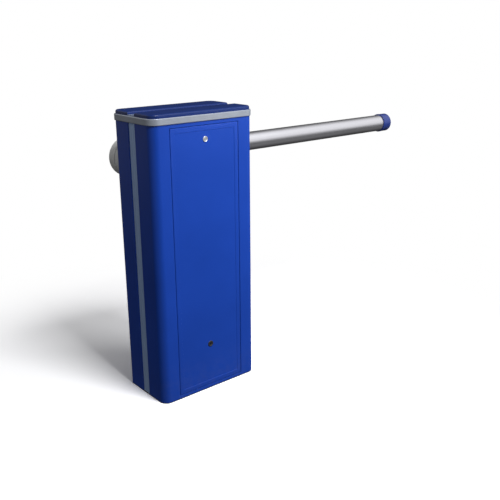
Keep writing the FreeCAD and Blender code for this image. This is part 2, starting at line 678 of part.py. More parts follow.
# Front frame plate: a window over most of its height leaves two legs, and its foot turns outward.
front_plate = new_body("front_frame_plate")
extrude(front_plate, "Y", dims.front_plate_y, front_plate_back,
        lambda s: rectangle(s, dims.frame_left, dims.frame_right, plate_top, frame_top))
extrude(front_plate, "Y", dims.front_plate_y, front_plate_back,
        lambda s: rectangle(s, dims.frame_left + dims.leg_width, dims.frame_right - dims.leg_width,
                            dims.window_low, pivot_z - dims.window_below_pivot), cut=True)
extrude(front_plate, "Z", plate_top, plate_top + dims.frame_plate,
        lambda s: rectangle(s, dims.frame_left, dims.frame_right, dims.front_plate_y - dims.foot_length,
                            dims.front_plate_y))
drill(front_plate, "Z", plate_top, plate_top + dims.frame_plate,
      [hole for hole in foot_holes if hole[1].number < 0], foot_hole)
drill(front_plate, "Y", dims.front_plate_y, front_plate_back, [pivot], bearing_spigot)
drill(front_plate, "Y", dims.front_plate_y, front_plate_back, bearing_screws, screw_hole)
drill(front_plate, "Y", dims.front_plate_y, front_plate_back, tie_places, dims.tie_bolt_radius)

# Rear frame plate: the same, with an arm to the right that carries the control box.
rear_plate = new_body("rear_frame_plate")
arm_low, arm_right = box_low - dims.arm_below_box, profile_inside - dims.arm_side_gap
extrude(rear_plate, "Y", dims.rear_plate_y, rear_plate_back,
        lambda s: polygon(s, [(dims.frame_left, plate_top), (dims.frame_right, plate_top),
                              (dims.frame_right, arm_low), (arm_right, arm_low),
                              (arm_right, frame_top), (dims.frame_left, frame_top)]))
extrude(rear_plate, "Z", plate_top, plate_top + dims.frame_plate,
        lambda s: rectangle(s, dims.frame_left, dims.frame_right, rear_plate_back,
                            rear_plate_back + dims.foot_length))
drill(rear_plate, "Z", plate_top, plate_top + dims.frame_plate,
      [hole for hole in foot_holes if hole[1].number > 0], foot_hole)
drill(rear_plate, "Y", dims.rear_plate_y, rear_plate_back, [pivot], bearing_spigot)
drill(rear_plate, "Y", dims.rear_plate_y, rear_plate_back, bearing_screws, screw_hole)
drill(rear_plate, "Y", dims.rear_plate_y, rear_plate_back, tie_places, dims.tie_bolt_radius)

# Tie tubes between the plates, each with its own long bolt.
ties = []
for number, place_xz in enumerate(tie_places):
    tube = rod(f"TieTube{number}", "Y", place_xz, front_plate_back, dims.rear_plate_y, dims.tie_radius)
    bore = rod(f"TieBore{number}", "Y", place_xz, front_plate_back, dims.rear_plate_y, dims.tie_bolt_radius)
    ties.append(cut(f"Tie{number}", tube, [bore]))
group("tie_tubes", ties)
tie_length = rear_plate_back - dims.front_plate_y
group("tie_bolts", [bolt(f"TieBolt{number}", "Y", place_xz, dims.front_plate_y, tie_length, -1,
                         dims.tie_bolt_radius, dims.tie_radius, dims.tie_bolt_head_thick)
                    for number, place_xz in enumerate(tie_places)])


# Flanged bearing housings screwed to the plates, each with a bronze bush pressed in.
def bearing(end, plate_face, inner_face, away):
    """away is -1 at the front and +1 at the rear, the way the flange stands off its plate."""
    far = plate_face + dims.bearing_flange_thick * away
    outline = [(bush_outer, inner_face), (bearing_spigot, inner_face), (bearing_spigot, plate_face),
               (bearing_flange, plate_face), (bearing_flange, far), (bush_outer, far)]
    housing = turned(f"{end}_bearing_housing", "Y", pivot, outline)
    low, high = (plate_face, far) if away > 0 else (far, plate_face)
    local = [(bearing_screw_circle * math.cos(math.radians(turn)),
              bearing_screw_circle * math.sin(math.radians(turn))) for turn in bearing_angles]
    drill(housing, "Z", low, high, local, screw_hole)
    ends = (inner_face, far) if away > 0 else (far, inner_face)
    bush = turned(f"{end}_bush", "Y", pivot, ring(dims.shaft_radius + dims.running_gap, bush_outer, *ends))
    return far, housing, bush


front_bearing_end, front_housing, front_bush = bearing("front", dims.front_plate_y, front_plate_back, -1)
rear_bearing_end, rear_housing, rear_bush = bearing("rear", rear_plate_back, dims.rear_plate_y, 1)
group("bearing_housings", [front_housing, rear_housing])
group("shaft_bushes", [front_bush, rear_bush])
bearing_bolts = []
for number, place_xz in enumerate(bearing_screws):
    length = dims.bearing_flange_thick + dims.frame_plate
    for name, seat, toward in (("Front", front_bearing_end, -1), ("Rear", rear_bearing_end, 1)):
        bearing_bolts.append(bolt(f"{name}BearingBolt{number}", "Y", place_xz, seat, length, toward,
                                  dims.screw_radius, dims.screw_head, dims.screw_head_thick))
group("bearing_screws", bearing_bolts)
group("foot_bolts", [bolt(f"FootBolt{number}", "Z", place_xy, plate_top + dims.frame_plate,
                          dims.frame_plate + dims.plate_thick - dims.foot_bolt_short, 1,
                          dims.foot_bolt_radius, dims.foot_bolt_head, dims.foot_bolt_head_thick)
                     for number, place_xy in enumerate(foot_holes)])

# Screws from inside through the shells' turned-in edges into the profiles.
shell_screws = []
for number, height in enumerate(screw_heights):
    for side in (-1, 1):
        for toward in (-1, 1):
            seat = (shell_edge + dims.shell_wall) * toward
            length = dims.shell_wall + dims.profile_gap + dims.profile_wall
            shell_screws.append(bolt(f"ShellScrew{number}{side + 1}{toward + 1}", "Y",
                                     (screw_x * side, height), seat, length, toward, dims.screw_radius,
                                     dims.screw_head, dims.screw_head_thick))
group("shell_screws", shell_screws)

# ---- shaft and boom --------------------------------------------------------------------------------------

flange_front = holder_face - dims.shaft_flange_thick
main_shaft = turned("main_shaft", "Y", pivot, [
    (ZERO, dims.shaft_front), (dims.shaft_radius - dims.edge_chamfer, dims.shaft_front),
    (dims.shaft_radius, dims.shaft_front + dims.edge_chamfer), (dims.shaft_radius, flange_front),
    (dims.shaft_flange, flange_front), (dims.shaft_flange, holder_face), (ZERO, holder_face)])
key_bottom = dims.shaft_radius - dims.key_sink
key_top = key_bottom + dims.key_height
sector_front, sector_back = -dims.gear_width / 2, dims.gear_width / 2
key_spans = (("Sector", sector_front, sector_back), ("Arm", dims.arm_front, dims.arm_back),
             ("Flag", dims.flag_front, dims.flag_back))
half_key = dims.key_width / 2
# Turned pieces lie along their own Z, with their own -Y up, so keyways here are cut on that side.
for name, low, high in key_spans:
    extrude(main_shaft, "Z", low, high,
            lambda s: rectangle(s, -half_key, half_key, -dims.shaft_radius - CUT_PAST, -key_bottom), cut=True)
group("shaft_keys", [block(f"{name}Key", (dims.pivot_x - half_key, dims.pivot_x + half_key), (low, high),
                           (pivot_z + key_bottom, pivot_z + key_top)) for name, low, high in key_spans])

seal_bore = dims.shaft_radius + dims.seal_play
seal_low, seal_high = inner_y - dims.seal_inside, half_depth + dims.seal_outside
turned("shaft_seal", "Y", pivot, [
    (seal_bore, seal_low), (seal_outer, seal_low), (seal_outer, half_depth),
    (seal_outer + dims.seal_lip, half_depth), (seal_outer + dims.seal_lip, seal_high),
    (seal_bore, seal_high)])

# Boom holder: a round drum split on the tube's axis, an inner half bolted to the shaft's flange and an
# outer clamp half.
boom_start = dims.pivot_x - dims.boom_tail
boom_line = (boom_axis_y, pivot_z)
holder_radius = dims.boom_radius + dims.drum_wall
holder_outer = boom_axis_y + dims.boom_radius + dims.clamp_wall
holder_bolt_z = dims.boom_radius + dims.holder_bolt_edge
holder_split_front = boom_axis_y - dims.clamp_gap / 2
holder_split_back = boom_axis_y + dims.clamp_gap / 2
holder_bolts = [(dims.pivot_x + dims.holder_bolt_x * side_x, pivot_z + holder_bolt_z * side_z)
                for side_x in (-1, 1) for side_z in (-1, 1)]


def holder_tools(name, low, high):
    tools = [rod(f"{name}Saddle", "X", boom_line, boom_start - CUT_PAST,
                 dims.pivot_x + holder_radius + CUT_PAST, dims.boom_radius)]
    for number, place_xz in enumerate(holder_bolts):
        tools.append(rod(f"{name}Hole{number}", "Y", place_xz, low, high, dims.holder_bolt_radius))
    return tools


drum = rod("HolderDrum", "Y", pivot, holder_face, holder_split_front, holder_radius)
keep(cut("BoomHolder", drum, holder_tools("Holder", holder_face, holder_split_front)), "boom_holder")
clamp = turned("boom_clamp_blank", "Y", pivot,
               [(ZERO, holder_split_back), (holder_radius, holder_split_back), (holder_radius, holder_outer),
                (ZERO, holder_outer)])
subparts.remove(clamp)
round_edges(clamp, clamp.Tip, dims.holder_round,
            lambda edge: abs(edge.BoundBox.ZMin - holder_outer.number) < TOUCHING)
keep(cut("BoomClamp", clamp, holder_tools("Clamp", holder_split_back, holder_outer)), "boom_clamp")
group("clamp_bolts", [bolt(f"ClampBolt{number}", "Y", place_xz, holder_outer,
                           holder_outer - holder_face - dims.holder_bolt_short, 1, dims.holder_bolt_radius,
                           dims.holder_bolt_head, dims.holder_bolt_head_thick)
                      for number, place_xz in enumerate(holder_bolts)])

# The boom is an aluminium tube with a moulded cap over its end.
tube_end = dims.boom_tip - dims.cap_end
turned("boom_tube", "X", boom_line,
       ring(dims.boom_radius - dims.boom_wall, dims.boom_radius, boom_start, tube_end))
cap_outer = dims.boom_radius + dims.cap_wall
cap_start = dims.boom_tip - dims.cap_length
end_cap = turned("end_cap", "X", boom_line, [
    (dims.boom_radius, cap_start), (cap_outer, cap_start), (cap_outer, dims.boom_tip), (ZERO, dims.boom_tip),
    (ZERO, tube_end), (dims.boom_radius, tube_end)])
round_edges(end_cap, end_cap.Tip, dims.cap_round,
            lambda edge: abs(edge.BoundBox.ZMin - dims.boom_tip.number) < TOUCHING)

# ---- toothed sector and rack -----------------------------------------------------------------------------

pitch_radius = dims.tooth_module * dims.sector_teeth / 2
tip_radius = pitch_radius + dims.tooth_module
root_depth = dims.tooth_module * dims.root_share
root_radius = pitch_radius - root_depth
sector_hub = dims.shaft_radius + dims.sector_hub_wall
flank_steps = 6


def polar(radius, turn):
    return FreeCAD.Vector(radius * math.cos(turn), 0, radius * math.sin(turn))


def prism_y(points, low, high):
    """The solid between y = low and y = high over a closed outline in the XZ plane."""
    outline = Part.makePolygon(points + points[:1])
    outline.translate(FreeCAD.Vector(0, low, 0))
    return Part.Face(outline).extrude(FreeCAD.Vector(0, high - low, 0))


def sector_shape():
    """Involute teeth over part of the circle, on a hub with a keyed bore, round the shaft's axis."""
    teeth = int(dims.sector_teeth.number)
    angle = math.radians(dims.pressure_angle.number)
    pitch, tip, root = pitch_radius.number, tip_radius.number, root_radius.number
    base = pitch * math.cos(angle)
    half_tooth = math.pi / (2 * teeth) - dims.backlash.number / (2 * pitch)

    def flank(radius):
        if radius < base:
            return half_tooth + math.tan(angle) - angle
        lean = math.acos(base / radius)
        return half_tooth + math.tan(angle) - angle - (math.tan(lean) - lean)

    radii = [root] + [base + (tip - base) * step / flank_steps for step in range(flank_steps + 1)]
    step_angle = 2 * math.pi / teeth
    first = -math.floor(dims.sector_before.number / 360 * teeth - 0.5)
    last = math.floor(dims.sector_after.number / 360 * teeth - 0.5)
    points = [polar(root, -math.radians(dims.sector_before.number))]
    for tooth in range(first, last + 1):
        middle = tooth * step_angle
        points += [polar(radius, middle - flank(radius)) for radius in radii]
        points += [polar(radius, middle + flank(radius)) for radius in reversed(radii)]
    points.append(polar(root, math.radians(dims.sector_after.number)))
    points.append(FreeCAD.Vector(0, 0, 0))
    low, width = sector_front.number, dims.gear_width.number
    body = prism_y(points, low, low + width)
    start, along = FreeCAD.Vector(0, low, 0), FreeCAD.Vector(0, 1, 0)
    hub = Part.makeCylinder(sector_hub.number, width, start, along)
    bore = Part.makeCylinder(dims.shaft_radius.number, width, start, along)
    keyway = Part.makeBox(dims.key_width.number, width, key_top.number,
                          FreeCAD.Vector(-half_key.number, low, 0))
    return body.fuse(hub).cut(bore).cut(keyway).removeSplitter()


def rack_shape():
    """Straight-sided teeth on a square bar, with a tooth space opposite the sector's middle tooth."""
    module = dims.tooth_module.number
    pitch = math.pi * module
    lean = math.tan(math.radians(dims.pressure_angle.number))
    line, gap = (dims.pivot_x + pitch_radius).number, dims.backlash.number
    low, high, middle = rack_low.number, rack_high.number, pivot_z.number
    root = line + root_depth.number
    half_root = pitch / 4 + root_depth.number * lean - gap / 4
    half_tip = pitch / 4 - module * lean - gap / 4
    back = root + dims.rack_back.number
    points = [FreeCAD.Vector(back, 0, low), FreeCAD.Vector(root, 0, low)]
    first = math.ceil((low - middle + half_root) / pitch - 0.5)
    last = math.floor((high - middle - half_root) / pitch - 0.5)
    for tooth in range(first, last + 1):
        height = middle + (tooth + 0.5) * pitch
        points += [FreeCAD.Vector(root, 0, height - half_root),
                   FreeCAD.Vector(line - module, 0, height - half_tip),
                   FreeCAD.Vector(line - module, 0, height + half_tip),
                   FreeCAD.Vector(root, 0, height + half_root)]
    points += [FreeCAD.Vector(root, 0, high), FreeCAD.Vector(back, 0, high)]
    return prism_y(points, sector_front.number, sector_back.number)


drive_sector = document.addObject("Part::Feature", "DriveSector")
drive_sector.Shape = sector_shape()
drive_sector.Placement = FreeCAD.Placement(FreeCAD.Vector(dims.pivot_x.number, 0, pivot_z.number),
                                           FreeCAD.Rotation())
keep(drive_sector, "drive_sector")
rack = document.addObject("Part::Feature", "DriveRack")
rack.Shape = rack_shape()
keep(rack, "drive_rack")

# A guide block behind the rack holds it in mesh. Its two lips run either side of the rack.
rack_root = dims.pivot_x + pitch_radius + root_depth
rack_rear = rack_root + dims.rack_back
guide_face = rack_rear + dims.guide_gap
lip_side = sector_back + dims.guide_gap
lip_face = guide_face - dims.guide_lip
lip_outside = lip_side + dims.guide_lip_thick
guide = new_body("rack_guide")
extrude(guide, "Z", pivot_z - dims.guide_half, pivot_z + dims.guide_half,
        lambda s: polygon(s, [(guide_face, -lip_side), (lip_face, -lip_side), (lip_face, -lip_outside),
                              (guide_face, -lip_outside), (guide_face, front_plate_back),
                              (guide_face + dims.guide_thick, front_plate_back),
                              (guide_face + dims.guide_thick, dims.rear_plate_y),
                              (guide_face, dims.rear_plate_y), (guide_face, lip_outside),
                              (lip_face, lip_outside), (lip_face, lip_side), (guide_face, lip_side)]))

# ---- cylinder, rod and balance spring --------------------------------------------------------------------

rod_line = ((rack_root + rack_rear) / 2, ZERO)
turned("piston_rod", "Z", rod_line,
       [(ZERO, dims.rod_low), (dims.rod_radius, dims.rod_low), (dims.rod_radius, rack_low), (ZERO, rack_low)])
piston_low = dims.rod_low + dims.piston_above_end
turned("piston", "Z", rod_line,
       ring(dims.rod_radius, dims.piston_radius, piston_low, piston_low + dims.piston_height))
tube_bore = dims.piston_radius + dims.running_gap
tube_outer = dims.piston_radius + dims.tube_wall
turned("cylinder_tube", "Z", rod_line, ring(tube_bore, tube_outer, dims.tube_low, dims.tube_high))
gland_top = dims.tube_high + dims.gland_thick
gland_low = dims.tube_high - dims.gland_spigot
gland_bore = dims.rod_radius + dims.running_gap
gland_flange = tube_outer + dims.gland_rim
turned("cylinder_gland", "Z", rod_line, [
    (gland_bore, gland_low), (tube_bore, gland_low), (tube_bore, dims.tube_high),
    (gland_flange, dims.tube_high), (gland_flange, gland_top), (gland_bore, gland_top)])
seat_top = gland_top + dims.seat_thick
turned("lower_spring_seat", "Z", rod_line,
       ring(dims.rod_radius + dims.seat_play, dims.seat_radius, gland_top, seat_top))
upper_seat_top = rack_low - dims.seat_below_rack
upper_seat_low = upper_seat_top - dims.seat_thick
turned("upper_spring_seat", "Z", rod_line,
       ring(dims.rod_radius, dims.seat_radius, upper_seat_low, upper_seat_top))

balance_spring = new_body("balance_spring")
wire = sketch_on(balance_spring, "Y")
circle(wire, dims.spring_mean, seat_top + dims.spring_wire / 2 + dims.spring_end_gap, dims.spring_wire / 2)
coil_height = upper_seat_low - seat_top - dims.spring_wire - dims.spring_end_gap * 2
coil = balance_spring.newObject("PartDesign::AdditiveHelix", "Coil")
coil.Profile = wire
coil.ReferenceAxis = (wire, ["V_Axis"])
coil.Mode = "height-turns-angle"
bind(coil, "Height", coil_height)
bind(coil, "Turns", coil_height / dims.spring_pitch)
put(balance_spring, "Z", rod_line)

# ---- hydraulic unit --------------------------------------------------------------------------------------

block_top = dims.tube_low
spindle_back = dims.spindle_depth - dims.block_half_y
spindle_front = release_back + dims.spindle_gap
valve_block = new_body("valve_block")
extrude(valve_block, "Z", dims.block_low, block_top,
        lambda s: rectangle(s, dims.block_left, dims.block_right, -dims.block_half_y, dims.block_half_y))
drill(valve_block, "Y", -dims.block_half_y, spindle_back + CUT_PAST, [(ZERO, dims.release_height)],
      dims.spindle_radius + dims.running_gap)
spindle = turned("release_spindle", "Y", (ZERO, dims.release_height), [
    (ZERO, spindle_front), (dims.spindle_radius, spindle_front), (dims.spindle_radius, spindle_back),
    (ZERO, spindle_back)])
slot_end = dims.spindle_radius + CUT_PAST
slot_side = dims.spindle_slot_width / 2
extrude(spindle, "Z", spindle_front, spindle_front + dims.spindle_slot_depth,
        lambda s: rectangle(s, -slot_end, slot_end, -slot_side, slot_side), cut=True)

tank = new_body("oil_tank")
extrude(tank, "Z", plate_top, dims.block_low,
        lambda s: rounded(s, dims.block_left, dims.block_right, -dims.block_half_y, dims.block_half_y,
                          dims.tank_corner))
extrude(tank, "Z", plate_top + dims.tank_wall, dims.block_low,
        lambda s: rectangle(s, dims.block_left + dims.tank_corner, dims.block_right - dims.tank_corner,
                            dims.tank_corner - dims.block_half_y, dims.block_half_y - dims.tank_corner),
        cut=True)
motor_line = (ZERO, (dims.block_low + block_top) / 2)
motor_end = profile_inside - dims.motor_side_gap
motor_shoulder = motor_end - dims.motor_taper
motor_neck = dims.motor_radius - dims.motor_neck_step
neck_end = dims.block_right + dims.motor_neck_length
turned("pump_motor", "X", motor_line, [
    (ZERO, dims.block_right), (motor_neck, dims.block_right), (motor_neck, neck_end),
    (dims.motor_radius, neck_end), (dims.motor_radius, motor_shoulder),
    (dims.motor_radius - dims.motor_end_step, motor_end), (ZERO, motor_end)])
capacitor_start = dims.block_right + dims.capacitor_offset
capacitor_end = capacitor_start + dims.capacitor_length
turned("run_capacitor", "X", (ZERO, motor_line[1] + dims.motor_radius + dims.capacitor_radius), [
    (ZERO, capacitor_start), (dims.capacitor_radius, capacitor_start), (dims.capacitor_radius, capacitor_end),
    (ZERO, capacitor_end)])

# ---- stops and position sensing --------------------------------------------------------------------------


def keyed_disc(name, low, high, radius):
    """A disc on the shaft and the tools that cut its bore and keyway."""
    disc = rod(name, "Y", pivot, low, high, radius)
    bore = rod(f"{name}Bore", "Y", pivot, low, high, dims.shaft_radius)
    keyway = block(f"{name}Keyway", (dims.pivot_x - half_key, dims.pivot_x + half_key), (low, high),
                   (pivot_z, pivot_z + key_top))
    return disc, [bore, keyway]


# The stop arm points away from the boom. It meets the closed stop above it with the boom down, and the
# open stop beside it with the boom up.
arm_disc, arm_tools = keyed_disc("ArmHub", dims.arm_front, dims.arm_back,
                                 dims.shaft_radius + dims.arm_hub_wall)
half_arm = dims.arm_thick / 2
arm_bar = block("ArmBar", (dims.pivot_x - dims.arm_length, dims.pivot_x), (dims.arm_front, dims.arm_back),
                (pivot_z - half_arm, pivot_z + half_arm))
keep(cut("StopArm", fuse("ArmBlank", [arm_disc, arm_bar]), arm_tools), "stop_arm")

buffer_y = (dims.arm_front + dims.arm_back) / 2
closed_x = dims.pivot_x - dims.stop_offset
closed_low = pivot_z + half_arm + dims.stop_gap
closed_seat = closed_low + dims.buffer_length
open_z = pivot_z - dims.stop_offset
open_low = dims.pivot_x + half_arm + dims.stop_gap
open_seat = open_low + dims.buffer_length
block_front = buffer_y - dims.buffer_radius - dims.stop_block_edge
stop_half = dims.stop_block_width / 2
group("stop_blocks", [
    block("ClosedStopBlock", (closed_x - stop_half, closed_x + stop_half), (block_front, dims.rear_plate_y),
          (closed_seat, closed_seat + dims.stop_block)),
    block("OpenStopBlock", (open_seat, open_seat + dims.stop_block), (block_front, dims.rear_plate_y),
          (open_z - stop_half, open_z + stop_half))])
group("stop_buffers", [
    rod("ClosedBuffer", "Z", (closed_x, buffer_y), closed_low, closed_seat, dims.buffer_radius),
    rod("OpenBuffer", "X", (buffer_y, open_z), open_low, open_seat, dims.buffer_radius)])

# The flag on the shaft passes two sensors screwed into the front frame plate, a quarter turn apart.
flag_disc, flag_tools = keyed_disc("FlagHub", dims.flag_front, dims.flag_back,
                                  dims.shaft_radius + dims.flag_hub_wall)
flag_blade = block("FlagBlade", (dims.pivot_x - dims.flag_radius, dims.pivot_x),
                   (dims.flag_front, dims.flag_back),
                   (pivot_z - dims.sensor_radius, pivot_z + dims.sensor_radius))
keep(cut("PositionFlag", fuse("FlagBlank", [flag_disc, flag_blade]), flag_tools), "position_flag")
sensor_tip = dims.flag_front - dims.sensor_gap
sensor_places = [(dims.pivot_x - dims.sensor_circle, pivot_z), (dims.pivot_x, pivot_z - dims.sensor_circle)]
group("position_sensors", [rod(f"Sensor{number}", "Y", place_xz, sensor_tip - dims.sensor_length, sensor_tip,
                               dims.sensor_radius) for number, place_xz in enumerate(sensor_places)])
drill(front_plate, "Y", dims.front_plate_y, front_plate_back, sensor_places, dims.sensor_radius)

# ---- control box -----------------------------------------------------------------------------------------

# Moulded box on the frame's arm, with its cover, cable glands, board and transformer.
wall = dims.box_wall
control_box = new_body("control_box")
extrude(control_box, "Y", dims.box_front, dims.rear_plate_y,
        lambda s: rectangle(s, dims.box_left, box_right, box_low, box_high))
extrude(control_box, "Y", dims.box_front, dims.rear_plate_y - wall,
        lambda s: rectangle(s, dims.box_left + wall, box_right - wall, box_low + wall, box_high - wall),
        cut=True)
gland_y = (dims.box_front + dims.rear_plate_y) / 2
gland_places = [(dims.box_left + (box_right - dims.box_left) * share, gland_y) for share in (0.2, 0.5, 0.8)]
drill(control_box, "Z", box_low, box_low + wall, gland_places, dims.cable_gland_neck)
control_cover = new_body("control_cover")
extrude(control_cover, "Y", dims.box_front - dims.cover_thick, dims.box_front,
        lambda s: rectangle(s, dims.box_left, box_right, box_low, box_high))
glands = []
nut_low, neck_high = box_low - dims.cable_gland_length, box_low + wall + dims.cable_gland_inside
for number, place_xy in enumerate(gland_places):
    gland_body = fuse(f"GlandBody{number}", [
        hexagon(f"GlandNut{number}", "Z", place_xy, nut_low, box_low, dims.cable_gland),
        rod(f"GlandNeck{number}", "Z", place_xy, box_low, neck_high, dims.cable_gland_neck)])
    bore = rod(f"GlandBore{number}", "Z", place_xy, nut_low, neck_high, dims.cable_gland_bore)
    glands.append(cut(f"Gland{number}", gland_body, [bore]))
group("cable_glands", glands)
board_back = dims.rear_plate_y - wall - dims.board_gap
board_x = (dims.box_left + wall + dims.board_gap, box_right - wall - dims.board_gap)
board_z = (box_low + dims.board_above_floor, box_high - dims.board_below_lid)
keep(block("CircuitBoard", board_x, (board_back - dims.board_thick, board_back), board_z), "circuit_board")
transformer_z = box_low + dims.transformer_low
keep(block("Transformer", (dims.box_left + dims.transformer_side, box_right - dims.transformer_side),
           (dims.transformer_front, dims.rear_plate_y - wall),
           (transformer_z, transformer_z + dims.transformer_height)), "transformer")

# ---- check and write -------------------------------------------------------------------------------------

document.recompute()
faults = []
for item in document.Objects:
    if "Invalid" in item.State or "Error" in item.State:
        faults.append(f"{item.Label}: {item.State}")
    if item.TypeId == "PartDesign::Pocket" and item.Shape.Volume > item.BaseFeature.Shape.Volume - TOUCHING:
        faults.append(f"{item.Label} cuts nothing")
for item in subparts:
    if item.Shape.isNull() or not item.Shape.isValid() or not item.Shape.Solids:
        faults.append(f"{item.Label}: bad shape")
if faults:
    raise RuntimeError("; ".join(faults))

os.makedirs("parts", exist_ok=True)
for item in subparts:
    item.Shape.exportStep(f"parts/{item.Label}.step")
print(len(subparts), "sub-parts written")
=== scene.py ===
import math

import bmesh
import bpy
from mathutils import Matrix, Vector


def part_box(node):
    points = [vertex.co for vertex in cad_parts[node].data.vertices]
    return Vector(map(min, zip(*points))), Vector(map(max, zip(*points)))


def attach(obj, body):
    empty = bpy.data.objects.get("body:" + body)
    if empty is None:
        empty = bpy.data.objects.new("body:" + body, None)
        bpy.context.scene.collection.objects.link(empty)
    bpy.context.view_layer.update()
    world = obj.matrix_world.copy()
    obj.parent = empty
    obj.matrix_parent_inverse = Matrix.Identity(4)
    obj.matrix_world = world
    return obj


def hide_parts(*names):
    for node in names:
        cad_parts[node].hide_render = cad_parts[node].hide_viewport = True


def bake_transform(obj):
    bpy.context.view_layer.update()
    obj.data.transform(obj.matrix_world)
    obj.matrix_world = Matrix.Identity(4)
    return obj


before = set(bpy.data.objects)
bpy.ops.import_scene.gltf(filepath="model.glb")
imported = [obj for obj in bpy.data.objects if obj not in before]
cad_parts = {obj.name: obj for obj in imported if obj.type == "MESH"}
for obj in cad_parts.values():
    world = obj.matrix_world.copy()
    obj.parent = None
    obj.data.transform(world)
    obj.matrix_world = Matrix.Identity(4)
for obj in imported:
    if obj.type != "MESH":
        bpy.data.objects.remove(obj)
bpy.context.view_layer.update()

# ---- Cabinet half shells --------------------------------------------------------------------------------
# Two trays of 2.5 mm sheet steel, folded round the front and the rear corners and powder coated in a deep
# blue. Their edges turn in beside the aluminium joint profiles, where they are screwed from inside.

sheet_wall = 0.0025
edge_ease = 0.0006
shell_corner, shell_corner_steps = 0.031, 14
shell_lip = 0.011


def box_form(low, high):
    """A bmesh block between two corners."""
    form = bmesh.new()
    bmesh.ops.create_cube(form, size=1)
    size = [top - bottom for bottom, top in zip(low, high)]
    centre = [(top + bottom) / 2 for bottom, top in zip(low, high)]
    bmesh.ops.scale(form, vec=size, verts=form.verts)
    bmesh.ops.translate(form, vec=centre, verts=form.verts)
    return form


def meets(place, target):
    return abs(place - target) < 1e-5


def upright(edge):
    run = edge.verts[0].co - edge.verts[1].co
    return abs(run.z) > 0.9 * run.length


def round_off(form, edges, radius, steps):
    bmesh.ops.bevel(form, geom=list(edges), offset=radius, offset_type="OFFSET", affect="EDGES",
                    segments=steps, profile=0.5, material=-1, clamp_overlap=False)


def drop_faces(form, wanted):
    bmesh.ops.delete(form, geom=[face for face in form.faces if wanted(face)], context="FACES")


def slice_at(form, point, normal):
    bmesh.ops.bisect_plane(form, geom=form.verts[:] + form.edges[:] + form.faces[:], plane_co=point,
                           plane_no=normal, dist=1e-6)


def finish_piece(form, name, body, material, nodes=(), sharp=35):
    """A smooth-shaded piece from a bmesh, standing for its CAD nodes and riding on its body if it has one."""
    mesh = bpy.data.meshes.new(name)
    form.edges.index_update()
    open_rim = [edge.index for edge in form.edges if edge.is_boundary]
    form.to_mesh(mesh)
    form.free()
    for face in mesh.polygons:
        face.use_smooth = True
    mesh.set_sharp_from_angle(angle=math.radians(sharp))
    # An open rim that stays smooth would shade across the edge of the wall it is given later.
    for index in open_rim:
        mesh.edges[index].use_edge_sharp = True
    piece = bpy.data.objects.new(name, mesh)
    bpy.context.scene.collection.objects.link(piece)
    mesh.materials.append(material)
    if body:
        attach(piece, body)
    if nodes:
        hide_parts(*nodes)
    return piece


def thicken(piece, wall):
    solid = piece.modifiers.new("Sheet", "SOLIDIFY")
    solid.thickness = wall
    solid.offset = -1
    solid.use_even_offset = True


def ease_edges(piece, width, steps=2, angle=40):
    ease = piece.modifiers.new("Edges", "BEVEL")
    ease.width = width
    ease.segments = steps
    ease.limit_method = "ANGLE"
    ease.angle_limit = math.radians(angle)
    ease.harden_normals = True


def add(tree, kind, sockets=None, **settings):
    """A shader node with its settings, and with each named socket linked or set."""
    made = tree.nodes.new(kind)
    for name, value in settings.items():
        setattr(made, name, value)
    for name, value in (sockets or {}).items():
        if isinstance(value, bpy.types.NodeSocket):
            tree.links.new(value, made.inputs[name])
        else:
            made.inputs[name].default_value = value
    return made


def noise(tree, place, scale, detail, roughness=0.5):
    sockets = {"Vector": place, "Scale": scale, "Detail": detail, "Roughness": roughness}
    return add(tree, "ShaderNodeTexNoise", sockets).outputs["Fac"]


def remap(tree, value, before=(0, 1), after=(0, 1), **settings):
    """A value taken from one range to another, and held at its ends."""
    sockets = {"Value": value, "From Min": before[0], "From Max": before[1], "To Min": after[0],
               "To Max": after[1]}
    return add(tree, "ShaderNodeMapRange", sockets, **settings).outputs[0]


def worked(tree, operation, *values):
    return add(tree, "ShaderNodeMath", dict(enumerate(values)), operation=operation).outputs[0]


def mixed(tree, share, first, second):
    """The first colour turning into the second as the share goes from 0 to 1."""
    return add(tree, "ShaderNodeMix", {0: share, 6: first, 7: second}, data_type="RGBA").outputs[2]


def toned(tree, colour, value):
    return add(tree, "ShaderNodeHueSaturation", {"Color": colour, "Value": value}).outputs[0]


def relief(tree, height, strength, distance):
    return add(tree, "ShaderNodeBump", {"Height": height, "Strength": strength,
                                        "Distance": distance}).outputs[0]


def new_group(name, inputs):
    """An effect with its own inputs, that puts out a colour, a roughness and a normal."""
    tree = bpy.data.node_groups.new(name, "ShaderNodeTree")
    kinds = {3: "NodeSocketVector", 4: "NodeSocketColor"}
    for title, value in inputs.items():
        kind = kinds[len(value)] if isinstance(value, tuple) else "NodeSocketFloat"
        made = tree.interface.new_socket(name=title, in_out="INPUT", socket_type=kind)
        made.default_value = value
    for title, kind in (("Color", "NodeSocketColor"), ("Roughness", "NodeSocketFloat"),
                        ("Normal", "NodeSocketVector")):
        tree.interface.new_socket(name=title, in_out="OUTPUT", socket_type=kind)
    place = add(tree, "ShaderNodeTexCoord").outputs["Object"]
    return tree, tree.nodes.new("NodeGroupInput").outputs, place


def give(tree, colour, roughness, normal):
    """Ends an effect by putting out what it has made."""
    result = tree.nodes.new("NodeGroupOutput").inputs
    for name, source in (("Color", colour), ("Roughness", roughness), ("Normal", normal)):
        tree.links.new(source, result[name])


